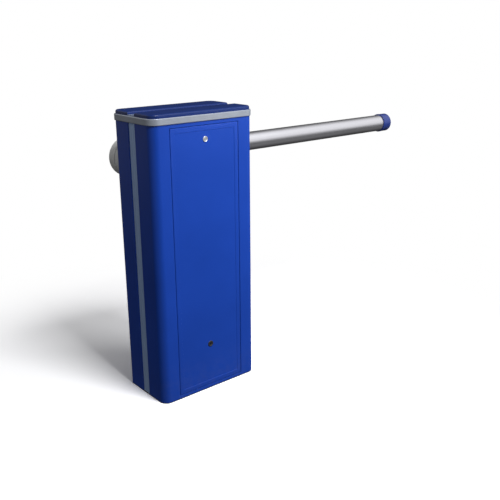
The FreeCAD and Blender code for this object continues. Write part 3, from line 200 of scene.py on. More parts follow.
# Powder coat: a fine orange peel, faint cloudiness in the colour, and road dust that settles near the ground.
dust_height = 0.16
coat_group, given, place = new_group("powder_coat", {"Color": (0.01, 0.05, 0.34, 1), "Dust": 0.5,
                                                     "Peel": 0.12, "Gloss": 0.32})
cloud = noise(coat_group, place, 5.0, 5.0)
speck = noise(coat_group, place, 900.0, 2.0)
peel = noise(coat_group, place, 260.0, 2.0, 0.4)
shade = remap(coat_group, cloud, (0.1, 0.9), (0.88, 1.12))
grain = remap(coat_group, speck, (0.3, 0.7), (0.97, 1.03))
tinted = toned(coat_group, given["Color"], worked(coat_group, "MULTIPLY", shade, grain))
height = add(coat_group, "ShaderNodeSeparateXYZ", {0: place}).outputs["Z"]
low_down = remap(coat_group, height, (dust_height, 0.0))
patches = remap(coat_group, noise(coat_group, place, 38.0, 8.0, 0.7), (0.42, 0.75))
film = worked(coat_group, "MULTIPLY", low_down, patches)
film = worked(coat_group, "MULTIPLY", film, given["Dust"])
dusty = mixed(coat_group, film, tinted, (0.16, 0.15, 0.13, 1))
smear = remap(coat_group, cloud, (0.1, 0.9), (-0.08, 0.08))
rough = worked(coat_group, "ADD", given["Gloss"], smear)
rough = worked(coat_group, "MULTIPLY_ADD", film, 0.4, rough)
give(coat_group, dusty, rough, relief(coat_group, peel, given["Peel"], 0.0006))


def new_material(name, group, effects, **constants):
    """A Principled material whose varying sockets come from one effect group, and the rest are constants."""
    made = bpy.data.materials.new(name)
    made.use_nodes = True
    tree = made.node_tree
    shader = tree.nodes["Principled BSDF"]
    effect = add(tree, "ShaderNodeGroup", node_tree=group)
    for title, setting in effects.items():
        effect.inputs[title].default_value = setting
    for title, socket in (("Color", "Base Color"), ("Roughness", "Roughness"), ("Normal", "Normal")):
        tree.links.new(effect.outputs[title], shader.inputs[socket])
    for title, setting in constants.items():
        shader.inputs[title.replace("_", " ")].default_value = setting
    return made


shell_blue = new_material("shell_blue_coat", coat_group, {"Color": (0.008, 0.05, 0.36, 1), "Dust": 0.12},
                          Specular_IOR_Level=0.28)


def half_shell(node, side):
    """A folded tray with its lips: side is -1 for the front one and +1 for the rear one."""
    low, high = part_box(node)
    form = box_form(low, high)
    outer_y = low.y if side < 0 else high.y
    open_y = high.y if side < 0 else low.y
    round_off(form, [edge for edge in form.edges if upright(edge) and meets(edge.verts[0].co.y, outer_y)],
              shell_corner, shell_corner_steps)
    drop_faces(form, lambda face: abs(face.normal.z) > 0.9 or meets(face.calc_center_median().y, open_y))
    for edge in [edge for edge in form.edges if upright(edge) and edge.is_boundary]:
        inward = -1 if edge.verts[0].co.x > 0 else 1
        made = bmesh.ops.extrude_edge_only(form, edges=[edge])
        verts = [item for item in made["geom"] if isinstance(item, bmesh.types.BMVert)]
        bmesh.ops.translate(form, vec=(inward * (shell_lip + sheet_wall), 0, 0), verts=verts)
    return form


front_form = half_shell("front_shell", -1)
door_low, door_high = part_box("door_panel")
door_gap = 0.0015
for side_x in (door_low.x - door_gap, door_high.x + door_gap):
    slice_at(front_form, (side_x, 0, 0), (1, 0, 0))
for edge_z in (door_low.z - door_gap, door_high.z + door_gap):
    slice_at(front_form, (0, 0, edge_z), (0, 0, 1))


def over_door(face):
    middle = face.calc_center_median()
    return (face.normal.y < -0.9 and door_low.x < middle.x < door_high.x
            and door_low.z < middle.z < door_high.z)


drop_faces(front_form, over_door)
rear_form = half_shell("rear_shell", 1)
for name, form in (("front_shell", front_form), ("rear_shell", rear_form)):
    shell = finish_piece(form, f"{name}_sheet", "cabinet", shell_blue, [name])
    thicken(shell, sheet_wall)
    ease_edges(shell, edge_ease)

# ---- Joint profiles -------------------------------------------------------------------------------------
# Extruded aluminium box profiles, satin anodised in grey, that close the gap between the two half shells.
# Two fine grooves run down each face.

profile_deep = 0.018
profile_ease = 0.0003
groove_width = 0.0012


def extruded(outline, axis, start, end):
    """A solid whose outline lies across the axis: (y, z) points along X, (x, y) points along Z."""
    form = bmesh.new()
    for u, v in outline:
        form.verts.new((start, u, v) if axis == "X" else (u, v, start))
    face = form.faces.new(form.verts)
    made = bmesh.ops.extrude_face_region(form, geom=[face])
    verts = [item for item in made["geom"] if isinstance(item, bmesh.types.BMVert)]
    run = end - start
    bmesh.ops.translate(form, vec=(run, 0, 0) if axis == "X" else (0, 0, run), verts=verts)
    bmesh.ops.recalc_face_normals(form, faces=form.faces)
    return form


def grooved_face(low, high, face, floor):
    """Points from low to high along a face with two grooves at its thirds, each cut down to the floor."""
    points = [(low, face)]
    for share in (1 / 3, 2 / 3):
        middle = low + (high - low) * share
        near, far = middle - groove_width / 2, middle + groove_width / 2
        points += [(near, face), (near, floor), (far, floor), (far, face)]
    return points + [(high, face)]


# Extruded or ground metal: fine die lines that run one way, in tone, gloss and relief.
drawn_group, given, place = new_group("drawn_metal", {"Color": (0.5, 0.5, 0.5, 1), "Lines": (3, 600, 600),
                                                      "Tone": 0.06, "Gloss": 0.35, "Depth": 0.1})
along = add(drawn_group, "ShaderNodeVectorMath", {0: place, 1: given["Lines"]},
            operation="MULTIPLY").outputs[0]
lines = noise(drawn_group, along, 1.0, 3.0)
stains = noise(drawn_group, place, 6.0, 5.0)
low_tone = worked(drawn_group, "SUBTRACT", 1.0, given["Tone"])
high_tone = worked(drawn_group, "ADD", 1.0, given["Tone"])
tinted = toned(drawn_group, given["Color"], remap(drawn_group, lines, (0.3, 0.7), (low_tone, high_tone)))
wear = remap(drawn_group, stains, (0.3, 0.7), (-0.03, 0.03))
fine = remap(drawn_group, lines, (0.3, 0.7), (-0.05, 0.05))
rough = worked(drawn_group, "ADD", wear, fine)
rough = worked(drawn_group, "ADD", rough, given["Gloss"])
give(drawn_group, tinted, rough, relief(drawn_group, lines, given["Depth"], 0.0004))

profile_metal = new_material("profile_anodised", drawn_group,
                             {"Color": (0.38, 0.53, 0.82, 1), "Lines": (900, 900, 4), "Gloss": 0.42},
                             Metallic=0.25)
low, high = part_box("joint_profiles")
for side, name in ((-1, "left"), (1, "right")):
    face = high.x * side
    turned_face = grooved_face(low.y, high.y, face, face - groove_width * side)
    outline = [(face - profile_deep * side, low.y)] + [(x, y) for y, x in turned_face]
    outline.append((face - profile_deep * side, high.y))
    profile = finish_piece(extruded(outline, "Z", low.z, high.z), f"{name}_joint_profile", "cabinet",
                           profile_metal, ["joint_profiles"] if side < 0 else ())
    ease_edges(profile, profile_ease)

# ---- Top band -------------------------------------------------------------------------------------------
# A cast aluminium rim over the shells' top edge, painted satin silver grey. Its edges are rounded, and it
# stands 4 mm proud of the cabinet, so the shells' top edge lies in its shadow.

band_corner, band_corner_steps = 0.035, 16
band_wall = 0.012
band_ease = 0.0025

# A cast skin under paint or bare: fine sand texture with small pits, and a slightly uneven tone.
cast_group, given, place = new_group("cast_skin", {"Color": (0.4, 0.4, 0.4, 1), "Grain": 500.0, "Gloss": 0.4,
                                                   "Depth": 0.15, "Grime": 0.2})
sand = noise(cast_group, place, given["Grain"], 4.0)
broad = noise(cast_group, place, 22.0, 6.0, 0.6)
tinted = toned(cast_group, given["Color"], remap(cast_group, broad, (0.3, 0.7), (0.92, 1.06)))
dirt = worked(cast_group, "MULTIPLY", remap(cast_group, sand, (0.48, 0.3)), given["Grime"])
grimy = mixed(cast_group, dirt, tinted, (0.03, 0.03, 0.03, 1))
dull = remap(cast_group, broad, (0.3, 0.7), (-0.05, 0.08))
rough = worked(cast_group, "ADD", given["Gloss"], dull)
give(cast_group, grimy, rough, relief(cast_group, sand, given["Depth"], 0.0008))

band_paint = new_material("band_silver_paint", cast_group,
                          {"Color": (0.33, 0.36, 0.42, 1), "Grain": 700.0, "Gloss": 0.34, "Depth": 0.08,
                           "Grime": 0.1}, Metallic=0.35)
band_form = box_form(*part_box("top_band"))
round_off(band_form, [edge for edge in band_form.edges if upright(edge)], band_corner, band_corner_steps)
drop_faces(band_form, lambda face: abs(face.normal.z) > 0.9)
band = finish_piece(band_form, "top_band_rim", "cabinet", band_paint, ["top_band"])
thicken(band, band_wall)
ease_edges(band, band_ease, steps=4)

# ---- Lids -----------------------------------------------------------------------------------------------
# Two pressed steel lid halves in the shells' blue powder coat, painted darker as shade for the weaker light
# on their tops, and rounded along their top edge.
# Between them runs a grooved strip of extruded aluminium, anodised like the joint profiles.

lid_corner, lid_corner_steps = 0.03, 16
lid_round, lid_round_steps = 0.006, 6
# The lids' colour is the shells' blue darkened as painted shade, standing in for the weaker light that falls
# on their tops.
lid_shaded_blue = new_material("lid_shaded_blue_coat", coat_group,
                        {"Color": (0.003, 0.018, 0.115, 1), "Dust": 0.0, "Gloss": 0.36},
                        Specular_IOR_Level=0.3)

for name, side in (("front_lid", -1), ("rear_lid", 1)):
    low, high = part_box(name)
    lid_form = box_form(low, high)
    outer_y = low.y if side < 0 else high.y
    round_off(lid_form, [edge for edge in lid_form.edges
                         if upright(edge) and meets(edge.verts[0].co.y, outer_y)],
              lid_corner, lid_corner_steps)
    round_off(lid_form, [edge for edge in lid_form.edges
                         if all(meets(vert.co.z, high.z) for vert in edge.verts)],
              lid_round, lid_round_steps)
    drop_faces(lid_form, lambda face: face.normal.z < -0.9)
    lid = finish_piece(lid_form, f"{name}_pressing", "cabinet", lid_shaded_blue, [name])
    thicken(lid, sheet_wall)

low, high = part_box("lid_channel")
outline = [(low.y, low.z)] + grooved_face(low.y, high.y, high.z, high.z - groove_width) + [(high.y, low.z)]
channel_metal = new_material("channel_anodised", drawn_group,
                             {"Color": (0.27, 0.33, 0.46, 1), "Lines": (4, 900, 900), "Gloss": 0.32},
                             Metallic=0.6)
channel = finish_piece(extruded(outline, "X", low.x, high.x), "lid_channel_strip", "cabinet",
                       channel_metal, ["lid_channel"])
ease_edges(channel, profile_ease)

# ---- Door -----------------------------------------------------------------------------------------------
# A folded steel tray in the same powder coat. Its face edges are rounded, its field is set back by a small
# step, and two hooks through its foot hold it in the welded frame behind the opening, on a rubber seal.

door_round, door_round_steps = 0.0018, 5
field_margin = 0.017
field_step, field_slope = 0.0008, 0.7
field_face = door_low.y + field_step
lock_body, release_body, hole_steps = 0.0085, 0.0095, 48

door_form = box_form(door_low, door_high)
drop_faces(door_form, lambda face: face.normal.y > 0.9)
face_edges = [edge for edge in door_form.edges if all(meets(vert.co.y, door_low.y) for vert in edge.verts)]
round_off(door_form, face_edges, door_round, door_round_steps)
field = [face for face in door_form.faces if face.normal.y < -0.999 and face.calc_area() > 0.1]
bmesh.ops.inset_region(door_form, faces=field, thickness=field_margin - door_round, depth=0,
                       use_even_offset=True)
bmesh.ops.inset_region(door_form, faces=field, thickness=field_step * field_slope, depth=-field_step,
                       use_even_offset=True)
field_rim = [edge for face in field for edge in face.edges]
bmesh.ops.delete(door_form, geom=field, context="FACES_ONLY")
for node, hole_radius in (("lock_barrel", lock_body), ("release_escutcheon", release_body)):
    low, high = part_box(node)
    hole_place = Matrix.Translation((0, field_face, (low.z + high.z) / 2))
    made = bmesh.ops.create_circle(door_form, segments=hole_steps, radius=hole_radius,
                                   matrix=hole_place @ Matrix.Rotation(math.pi / 2, 4, "X"))
    field_rim += dict.fromkeys(edge for vert in made["verts"] for edge in vert.link_edges)
made = bmesh.ops.triangle_fill(door_form, use_beauty=True, edges=field_rim, normal=(0, -1, 0))
field = [item for item in made["geom"] if isinstance(item, bmesh.types.BMFace)]
door_form.normal_update()
bmesh.ops.reverse_faces(door_form, faces=[face for face in field if face.normal.y > 0])
door = finish_piece(door_form, "door_tray", "door", shell_blue, ["door_panel"], sharp=30)
thicken(door, sheet_wall)


def dress(material, *names):
    """Gives CAD nodes that show as they are their finish."""
    for name in names:
        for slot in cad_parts[name].material_slots:
            slot.material = material


dress(shell_blue, "door_frame", "door_hooks")

# Moulded rubber and plastic: a fine matt texture, and dust that settles on what faces up.
moulded_group, given, place = new_group("moulded", {"Color": (0.02, 0.02, 0.02, 1), "Texture": 900.0,
                                                    "Gloss": 0.6, "Depth": 0.2, "Dust": 0.3})
texture = noise(moulded_group, place, given["Texture"], 3.0)
drift = noise(moulded_group, place, 30.0, 6.0)
facing = add(moulded_group, "ShaderNodeNewGeometry").outputs["Normal"]
facing_up = add(moulded_group, "ShaderNodeSeparateXYZ", {0: facing}).outputs["Z"]
settled = worked(moulded_group, "MULTIPLY", remap(moulded_group, facing_up, (0.2, 1.0)), drift)
settled = worked(moulded_group, "MULTIPLY", settled, given["Dust"])
tinted = toned(moulded_group, given["Color"], remap(moulded_group, drift, (0.3, 0.7), (0.88, 1.12)))
dusty = mixed(moulded_group, settled, tinted, (0.25, 0.24, 0.22, 1))
rough = remap(moulded_group, drift, (0.3, 0.7), (-0.04, 0.06))
rough = worked(moulded_group, "ADD", rough, given["Gloss"])
give(moulded_group, dusty, rough, relief(moulded_group, texture, given["Depth"], 0.0004))

rubber = new_material("rubber_black", moulded_group, {"Color": (0.018, 0.018, 0.02, 1), "Gloss": 0.7})
dress(rubber, "door_seal", "base_gasket", "shaft_seal", "stop_buffers")

# ---- Door lock ------------------------------------------------------------------------------------------
# A turned brass barrel, nickel plated, that clamps through the door's sheet. Its face is dished round the
# plug, and the plug and its cam are the lock's turning half.


def spun(profile, axis, centre, closed=False, steps=64):
    """Turns a half section, given as (radius, place along the axis), about X or Y through the centre."""
    form = bmesh.new()
    verts = [form.verts.new((radius, 0, along)) for radius, along in profile]
    pairs = list(zip(verts, verts[1:]))
    if closed:
        pairs.append((verts[-1], verts[0]))
    edges = [form.edges.new(pair) for pair in pairs]
    bmesh.ops.spin(form, geom=verts + edges, cent=(0, 0, 0), axis=(0, 0, 1), dvec=(0, 0, 0),
                   angle=math.tau, steps=steps, use_merge=True, use_normal_flip=False, use_duplicate=False)
    bmesh.ops.remove_doubles(form, verts=form.verts, dist=1e-7)
    bmesh.ops.recalc_face_normals(form, faces=form.faces)
    turns = {"X": Matrix.Rotation(math.pi / 2, 4, "Y"), "Y": Matrix.Rotation(-math.pi / 2, 4, "X")}
    bmesh.ops.transform(form, matrix=Matrix.Translation(centre) @ turns[axis], verts=form.verts)
    return form


def quarter_arc(radius_centre, along_centre, radius, steps):
    """Points of a rounded outer corner of a half section, as (radius, along)."""
    turns = [math.radians(90 * step / steps) for step in range(steps + 1)]
    return [(radius_centre + radius * math.cos(turn), along_centre + radius * math.sin(turn))
            for turn in turns]


def door_fitting(node, front, body_radius):
    """A collar through the door's sheet. Its front runs out from the bore, as (radius, set back by)."""
    low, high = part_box(node)
    bore, face = front[0][0], front[-1][0]
    profile = [(radius, low.y + back) for radius, back in front]
    profile += [(face, field_face), (body_radius, field_face), (body_radius, high.y), (bore, high.y)]
    return spun(profile, "Y", (0, 0, (low.z + high.z) / 2), closed=True)


lock_bore, lock_face = 0.00605, 0.01
lock_front = [(lock_bore, 0.0011), (0.0074, 0.0004), (0.008, 0), (0.0092, 0.0001), (0.0098, 0.0006),
              (lock_face, 0.0012)]
barrel_form = door_fitting("lock_barrel", lock_front, lock_body)
lock_nickel = new_material("lock_nickel", drawn_group,
                           {"Color": (0.8, 0.82, 0.85, 1), "Lines": (120, 900, 120), "Tone": 0.04,
                            "Gloss": 0.36, "Depth": 0.04}, Metallic=0.9)
finish_piece(barrel_form, "lock_barrel_turning", "door", lock_nickel, ["lock_barrel"])
dress(lock_nickel, "lock_plug")

# ---- Manual release -------------------------------------------------------------------------------------
# A round escutcheon moulded in black glass-filled nylon and snapped into a hole in the door. Inside it sits
# a plug with a three-cornered recess for the release key, which turns the valve's spindle behind.

release_bore, release_face = 0.00655, 0.0115
release_front = [(release_bore, 0.0012), (0.0076, 0.0002), (0.0084, 0), (0.0104, 0.0002), (0.0112, 0.0008),
                 (release_face, 0.0016)]
collar_form = door_fitting("release_escutcheon", release_front, release_body)
nylon_black = new_material("nylon_black", moulded_group,
                           {"Color": (0.015, 0.015, 0.017, 1), "Texture": 1400.0, "Gloss": 0.48})
finish_piece(collar_form, "release_collar", "door", nylon_black, ["release_escutcheon"])
dress(nylon_black, "release_plug", "cable_glands", "position_sensors")

# ---- Boom -----------------------------------------------------------------------------------------------
# An extruded aluminium tube, satin anodised, with die lines along it. A moulded plastic cap with a collar
# is pushed over its end.

tube_wall = 0.003
boom_steps = 96
low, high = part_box("boom_tube")
boom_y, boom_z = (low.y + high.y) / 2, (low.z + high.z) / 2
boom_radius = (high.z - low.z) / 2
tube_form = spun([(boom_radius - tube_wall, low.x), (boom_radius, low.x), (boom_radius, high.x),
                  (boom_radius - tube_wall, high.x)], "X", (0, boom_y, boom_z), closed=True, steps=boom_steps)
boom_metal = new_material("boom_anodised", drawn_group,
                          {"Color": (0.68, 0.68, 0.72, 1), "Lines": (2, 700, 700), "Tone": 0.04,
                           "Gloss": 0.34, "Depth": 0.04}, Metallic=1.0)
boom_tube = finish_piece(tube_form, "boom_tube_extrusion", "boom", boom_metal,
                         ["boom_tube"])
ease_edges(boom_tube, edge_ease)

cap_low, cap_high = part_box("end_cap")
cap_radius = (cap_high.z - cap_low.z) / 2
cap_nose, cap_collar, cap_step, cap_crown = 0.007, 0.008, 0.0009, 0.0008
nose_radius = cap_radius - cap_step - cap_nose
cap_profile = [(boom_radius, cap_low.x), (cap_radius, cap_low.x), (cap_radius, cap_low.x + cap_collar),
               (cap_radius - cap_step, cap_low.x + cap_collar + cap_step)]
cap_profile += quarter_arc(nose_radius, cap_high.x - cap_nose - cap_crown, cap_nose, 8)
cap_profile += [(nose_radius / 2, cap_high.x - cap_crown / 4), (0, cap_high.x)]
cap_blue = new_material("cap_blue_plastic", moulded_group,
                        {"Color": (0.014, 0.034, 0.19, 1), "Texture": 300.0, "Gloss": 0.24, "Depth": 0.05,
                         "Dust": 0.05})
cap = finish_piece(spun(cap_profile, "X", (0, boom_y, boom_z), steps=boom_steps), "boom_end_cap", "boom",
                   cap_blue, ["end_cap"])
ease_edges(cap, edge_ease, steps=3)

# ---- Boom holder ----------------------------------------------------------------------------------------
# A round drum of two gravity-cast aluminium halves, powder coated light grey, that four bolts draw
# together on the tube. The inner half is bolted to the shaft's flange and turns with it.

holder_paint = new_material("holder_grey_coat", cast_group,
                            {"Color": (0.84, 0.85, 0.84, 1), "Grain": 450.0, "Gloss": 0.42, "Depth": 0.1,
                             "Grime": 0.1})
low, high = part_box("boom_holder")
drum_radius = (high.z - low.z) / 2
drum_centre = ((low.x + high.x) / 2, 0, (low.z + high.z) / 2)
face_ease, split_ease, clamp_round = 0.002, 0.0012, 0.009
inner_half = [(0, low.y), (drum_radius - face_ease, low.y), (drum_radius, low.y + face_ease),
              (drum_radius, high.y - split_ease), (drum_radius - split_ease, high.y), (0, high.y)]
low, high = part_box("boom_clamp")
outer_half = [(0, low.y), (drum_radius - split_ease, low.y), (drum_radius, low.y + split_ease)]
outer_half += quarter_arc(drum_radius - clamp_round, high.y - clamp_round, clamp_round, 8)
outer_half.append((0, high.y))
for name, node, profile in (("boom_holder_drum", "boom_holder", inner_half),
                            ("boom_clamp_drum", "boom_clamp", outer_half)):
    finish_piece(spun(profile, "Y", drum_centre, steps=boom_steps), name, "boom", holder_paint,
                 [node], sharp=25)

# Zinc plating: a pale crystalline spangle, yellowed here and there, with duller patches.
plated_group, given, place = new_group("zinc_plating", {"Color": (0.5, 0.5, 0.5, 1), "Spangle": 160.0,
                                                        "Gloss": 0.35, "Tint": 0.4})
crystal = add(plated_group, "ShaderNodeTexVoronoi", {"Vector": place, "Scale": given["Spangle"]}).outputs
shine = add(plated_group, "ShaderNodeSeparateColor", {0: crystal["Color"]}).outputs["Red"]
film = noise(plated_group, place, 9.0, 6.0)
tinted = toned(plated_group, given["Color"], remap(plated_group, shine, after=(0.9, 1.1)))
yellow = worked(plated_group, "MULTIPLY", remap(plated_group, film, (0.5, 0.75)), given["Tint"])
passive = mixed(plated_group, yellow, tinted, (0.52, 0.42, 0.2, 1))
patch = remap(plated_group, film, (0.3, 0.7), (-0.04, 0.06))
rough = worked(plated_group, "ADD", given["Gloss"], patch)
give(plated_group, passive, rough, relief(plated_group, crystal["Distance"], 0.04, 0.0004))

bolt_zinc = new_material("bolt_zinc", plated_group, {"Color": (0.6, 0.6, 0.58, 1), "Spangle": 500.0},
                         Metallic=1.0)
dress(bolt_zinc, "clamp_bolts", "tie_bolts", "bearing_screws", "foot_bolts", "shell_screws", "shaft_keys",
      "lock_cam")

# ---- Shaft and bearings ---------------------------------------------------------------------------------
# A turned and ground steel shaft, keyed for the sector, stop arm and flag, in two bronze bushes. Their
# cast-iron housings are screwed to the frame plates.

ground_steel = new_material("ground_steel", drawn_group,
                            {"Color": (0.5, 0.5, 0.51, 1), "Lines": (60, 900, 60), "Tone": 0.05,
                             "Gloss": 0.28}, Metallic=1.0)
cast_iron = new_material("cast_iron_primed", cast_group,
                         {"Color": (0.12, 0.12, 0.13, 1), "Grain": 260.0, "Gloss": 0.55, "Depth": 0.4,
                          "Grime": 0.4})
bronze = new_material("bush_bronze", drawn_group,
                      {"Color": (0.62, 0.38, 0.16, 1), "Lines": (60, 900, 60), "Gloss": 0.3}, Metallic=1.0)
dress(ground_steel, "main_shaft", "drive_sector")
dress(cast_iron, "bearing_housings", "rack_guide")
dress(bronze, "shaft_bushes")

# ---- Base plate and mechanism frame ---------------------------------------------------------------------
# Laser-cut and folded steel plates, zinc plated, tied together by tubes and long bolts and bolted to the
# base plate, which four studs anchor to the plinth.

plate_zinc = new_material("plate_zinc", plated_group,
                          {"Color": (0.5, 0.5, 0.49, 1), "Gloss": 0.42, "Tint": 0.25}, Metallic=0.85)
dress(plate_zinc, "base_plate", "front_frame_plate", "rear_frame_plate", "tie_tubes", "stop_blocks",
      "stop_arm", "position_flag", "lower_spring_seat", "upper_spring_seat")

# ---- Rack, cylinder and balance spring ------------------------------------------------------------------
# The ground piston rod carries the rack. Round the rod, a coiled spring of black coated wire pushes the rack
# up, and in the barrier stretches as the boom lifts; the coil here is built once, at rest.

rod_steel = new_material("rod_steel", drawn_group,
                         {"Color": (0.55, 0.55, 0.56, 1), "Lines": (60, 60, 900), "Tone": 0.03, "Gloss": 0.2},
                         Metallic=1.0)
cylinder_metal = new_material("cylinder_aluminium", cast_group,
                              {"Color": (0.5, 0.51, 0.52, 1), "Grain": 380.0, "Gloss": 0.38, "Depth": 0.15},
                              Metallic=0.9)
dress(rod_steel, "piston_rod", "piston", "drive_rack", "release_spindle")
dress(cylinder_metal, "cylinder_tube", "cylinder_gland", "valve_block", "oil_tank")

wire_radius, turn_steps, coil_turns = 0.004, 32, 9.5
low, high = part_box("balance_spring")
coil_x = (low.x + high.x) / 2
coil_radius = (high.x - low.x) / 2 - wire_radius
coil_rise = high.z - low.z - 2 * wire_radius
coil_form = bmesh.new()
bmesh.ops.create_circle(coil_form, cap_ends=True, segments=14, radius=wire_radius)
bmesh.ops.rotate(coil_form, cent=(0, 0, 0), matrix=Matrix.Rotation(math.pi / 2, 3, "X"),
                 verts=coil_form.verts)
bmesh.ops.translate(coil_form, vec=(coil_x + coil_radius, 0, low.z + wire_radius), verts=coil_form.verts)
coil_steps = round(coil_turns * turn_steps)
bmesh.ops.spin(coil_form, geom=coil_form.verts[:] + coil_form.edges[:] + coil_form.faces[:],
               cent=(coil_x, 0, 0), axis=(0, 0, 1), dvec=(0, 0, coil_rise / coil_steps),
               angle=math.tau * coil_turns, steps=coil_steps, use_merge=False, use_normal_flip=False,
               use_duplicate=False)
bmesh.ops.recalc_face_normals(coil_form, faces=coil_form.faces)
spring_coat = new_material("spring_black_coat", coat_group,
                           {"Color": (0.02, 0.02, 0.023, 1), "Dust": 0.0, "Gloss": 0.4, "Peel": 0.2})
coil = finish_piece(coil_form, "balance_spring_coil", None, spring_coat, ["balance_spring"])
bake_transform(coil)

# ---- Pump motor -----------------------------------------------------------------------------------------
# A finned aluminium housing in black paint, with a turned flange fixed to the valve block at one end and a
# rounded shield over the other. Its run capacitor, in a grey plastic case, sits above it.

fin_count, fin_depth, fin_points = 30, 0.004, 4
flange_length, shield_length, shield_round = 0.014, 0.016, 0.008
neck_step, neck_length, neck_shoulder, tuck = 0.006, 0.008, 0.001, 0.001
low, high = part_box("pump_motor")
motor_z = (low.z + high.z) / 2
motor_radius = (high.z - low.z) / 2
fin_start, fin_end = low.x + flange_length, high.x - shield_length
motor_black = new_material("motor_black_paint", coat_group,
                           {"Color": (0.022, 0.022, 0.025, 1), "Dust": 0.0, "Gloss": 0.42, "Peel": 0.2})
fin_form = bmesh.new()
bmesh.ops.create_circle(fin_form, cap_ends=True, segments=fin_count * fin_points, radius=motor_radius)
for number, vert in enumerate(sorted(fin_form.verts, key=lambda item: math.atan2(item.co.y, item.co.x))):
    if number % fin_points < 2:
        vert.co *= (motor_radius - fin_depth) / motor_radius
made = bmesh.ops.extrude_face_region(fin_form, geom=fin_form.faces[:])
bmesh.ops.translate(fin_form, vec=(0, 0, fin_end - fin_start),
                    verts=[item for item in made["geom"] if isinstance(item, bmesh.types.BMVert)])
bmesh.ops.recalc_face_normals(fin_form, faces=fin_form.faces)
bmesh.ops.transform(fin_form, matrix=Matrix.Translation((fin_start, 0, motor_z)) @ Matrix.Rotation(
    math.pi / 2, 4, "Y"), verts=fin_form.verts)
finish_piece(fin_form, "motor_fins", "cabinet", motor_black, ["pump_motor"])
neck_radius = motor_radius - neck_step
flange_profile = [(0, low.x), (neck_radius, low.x), (neck_radius, low.x + neck_length),
                  (motor_radius, low.x + neck_length + neck_shoulder), (motor_radius, fin_start + tuck),
                  (0, fin_start + tuck)]
shield_profile = [(0, fin_end - tuck), (motor_radius, fin_end - tuck), (motor_radius, high.x - shield_round)]
shield_profile += quarter_arc(motor_radius - shield_round, high.x - shield_round, shield_round, 5)
shield_profile.append((0, high.x))
for name, profile in (("motor_flange", flange_profile), ("motor_end_shield", shield_profile)):
    casting = finish_piece(spun(profile, "X", (0, 0, motor_z)), name, "cabinet", motor_black)
    ease_edges(casting, edge_ease)

box_plastic = new_material("box_grey_plastic", moulded_group,
                           {"Color": (0.42, 0.42, 0.41, 1), "Texture": 700.0, "Gloss": 0.5, "Depth": 0.15})
dress(box_plastic, "run_capacitor", "control_box")

# ---- Control box ----------------------------------------------------------------------------------------
# A moulded grey box on the frame's arm holds the circuit board and transformer. Its cover has a raised
# field and rounded corners.

cover_corner, cover_corner_steps, cover_ease = 0.006, 5, 0.0008
cover_margin, cover_groove_wide, cover_groove_deep = 0.012, 0.002, 0.0012
low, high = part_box("control_cover")
cover_form = box_form(low, high)
round_off(cover_form, [edge for edge in cover_form.edges
                       if abs(edge.verts[0].co.y - edge.verts[1].co.y) > 0.5 * (high.y - low.y)],
          cover_corner, cover_corner_steps)
field = [face for face in cover_form.faces if face.normal.y < -0.9]
bmesh.ops.inset_region(cover_form, faces=field, thickness=cover_margin, depth=-cover_groove_deep,
                       use_even_offset=True)
bmesh.ops.inset_region(cover_form, faces=field, thickness=cover_groove_wide, depth=cover_groove_deep,
                       use_even_offset=True)
cover = finish_piece(cover_form, "control_box_cover", "cabinet", box_plastic, ["control_cover"])
ease_edges(cover, cover_ease, steps=3)

# The board's solder mask, with copper tracks below it.
board = bpy.data.materials.new("board_green_mask")
board.use_nodes = True
tree = board.node_tree
place = add(tree, "ShaderNodeTexCoord").outputs["Object"]
tracks = add(tree, "ShaderNodeTexBrick", {"Vector": place, "Color1": (0.012, 0.11, 0.045, 1),
                                          "Color2": (0.02, 0.17, 0.07, 1), "Mortar": (0.006, 0.07, 0.03, 1),
                                          "Scale": 90.0, "Mortar Size": 0.03})
gloss = remap(tree, noise(tree, place, 400.0, 2.0), after=(0.2, 0.45))
shader = tree.nodes["Principled BSDF"]
tree.links.new(tracks.outputs["Color"], shader.inputs["Base Color"])
tree.links.new(gloss, shader.inputs["Roughness"])
tree.links.new(relief(tree, tracks.outputs["Fac"], 0.2, 0.0002), shader.inputs["Normal"])
dress(board, "circuit_board")
core_steel = new_material("transformer_laminations", drawn_group,
                          {"Color": (0.1, 0.1, 0.11, 1), "Lines": (3, 900, 3), "Tone": 0.3, "Gloss": 0.5,
                           "Depth": 0.5}, Metallic=0.6)
dress(core_steel, "transformer")

# ---- Studio ---------------------------------------------------------------------------------------------
# A pale floor that turns to plain white further out, one soft light high in front and a weak one near the
# boom, a dim sky with three soft bright patches for the metal to reflect, and the camera.

floor_reach = 40
fade_start, fade_end = 0.8, 1.6
black, white, bright_white = (0, 0, 0, 1), (1, 1, 1, 1), (1.38, 1.38, 1.4, 1)
floor = bpy.data.objects.new("floor", bpy.data.meshes.new("floor"))
form = bmesh.new()
bmesh.ops.create_grid(form, x_segments=1, y_segments=1, size=floor_reach)
form.to_mesh(floor.data)
form.free()
bpy.context.scene.collection.objects.link(floor)
floor.visible_diffuse = False
floor.visible_glossy = False
floor_paint = bpy.data.materials.new("studio_floor")
floor_paint.use_nodes = True
tree = floor_paint.node_tree
spot = add(tree, "ShaderNodeTexCoord").outputs["Object"]
apart = add(tree, "ShaderNodeVectorMath", {0: spot}, operation="LENGTH").outputs["Value"]
away = remap(tree, apart, (fade_start, fade_end), interpolation_type="SMOOTHSTEP")
shader = tree.nodes["Principled BSDF"]
shader.inputs["Roughness"].default_value = 1.0
shader.inputs["Specular IOR Level"].default_value = 0.0
shader.inputs["Emission Strength"].default_value = 1.0
tree.links.new(mixed(tree, away, bright_white, black), shader.inputs["Base Color"])
tree.links.new(mixed(tree, away, black, white), shader.inputs["Emission Color"])
floor.data.materials.append(floor_paint)

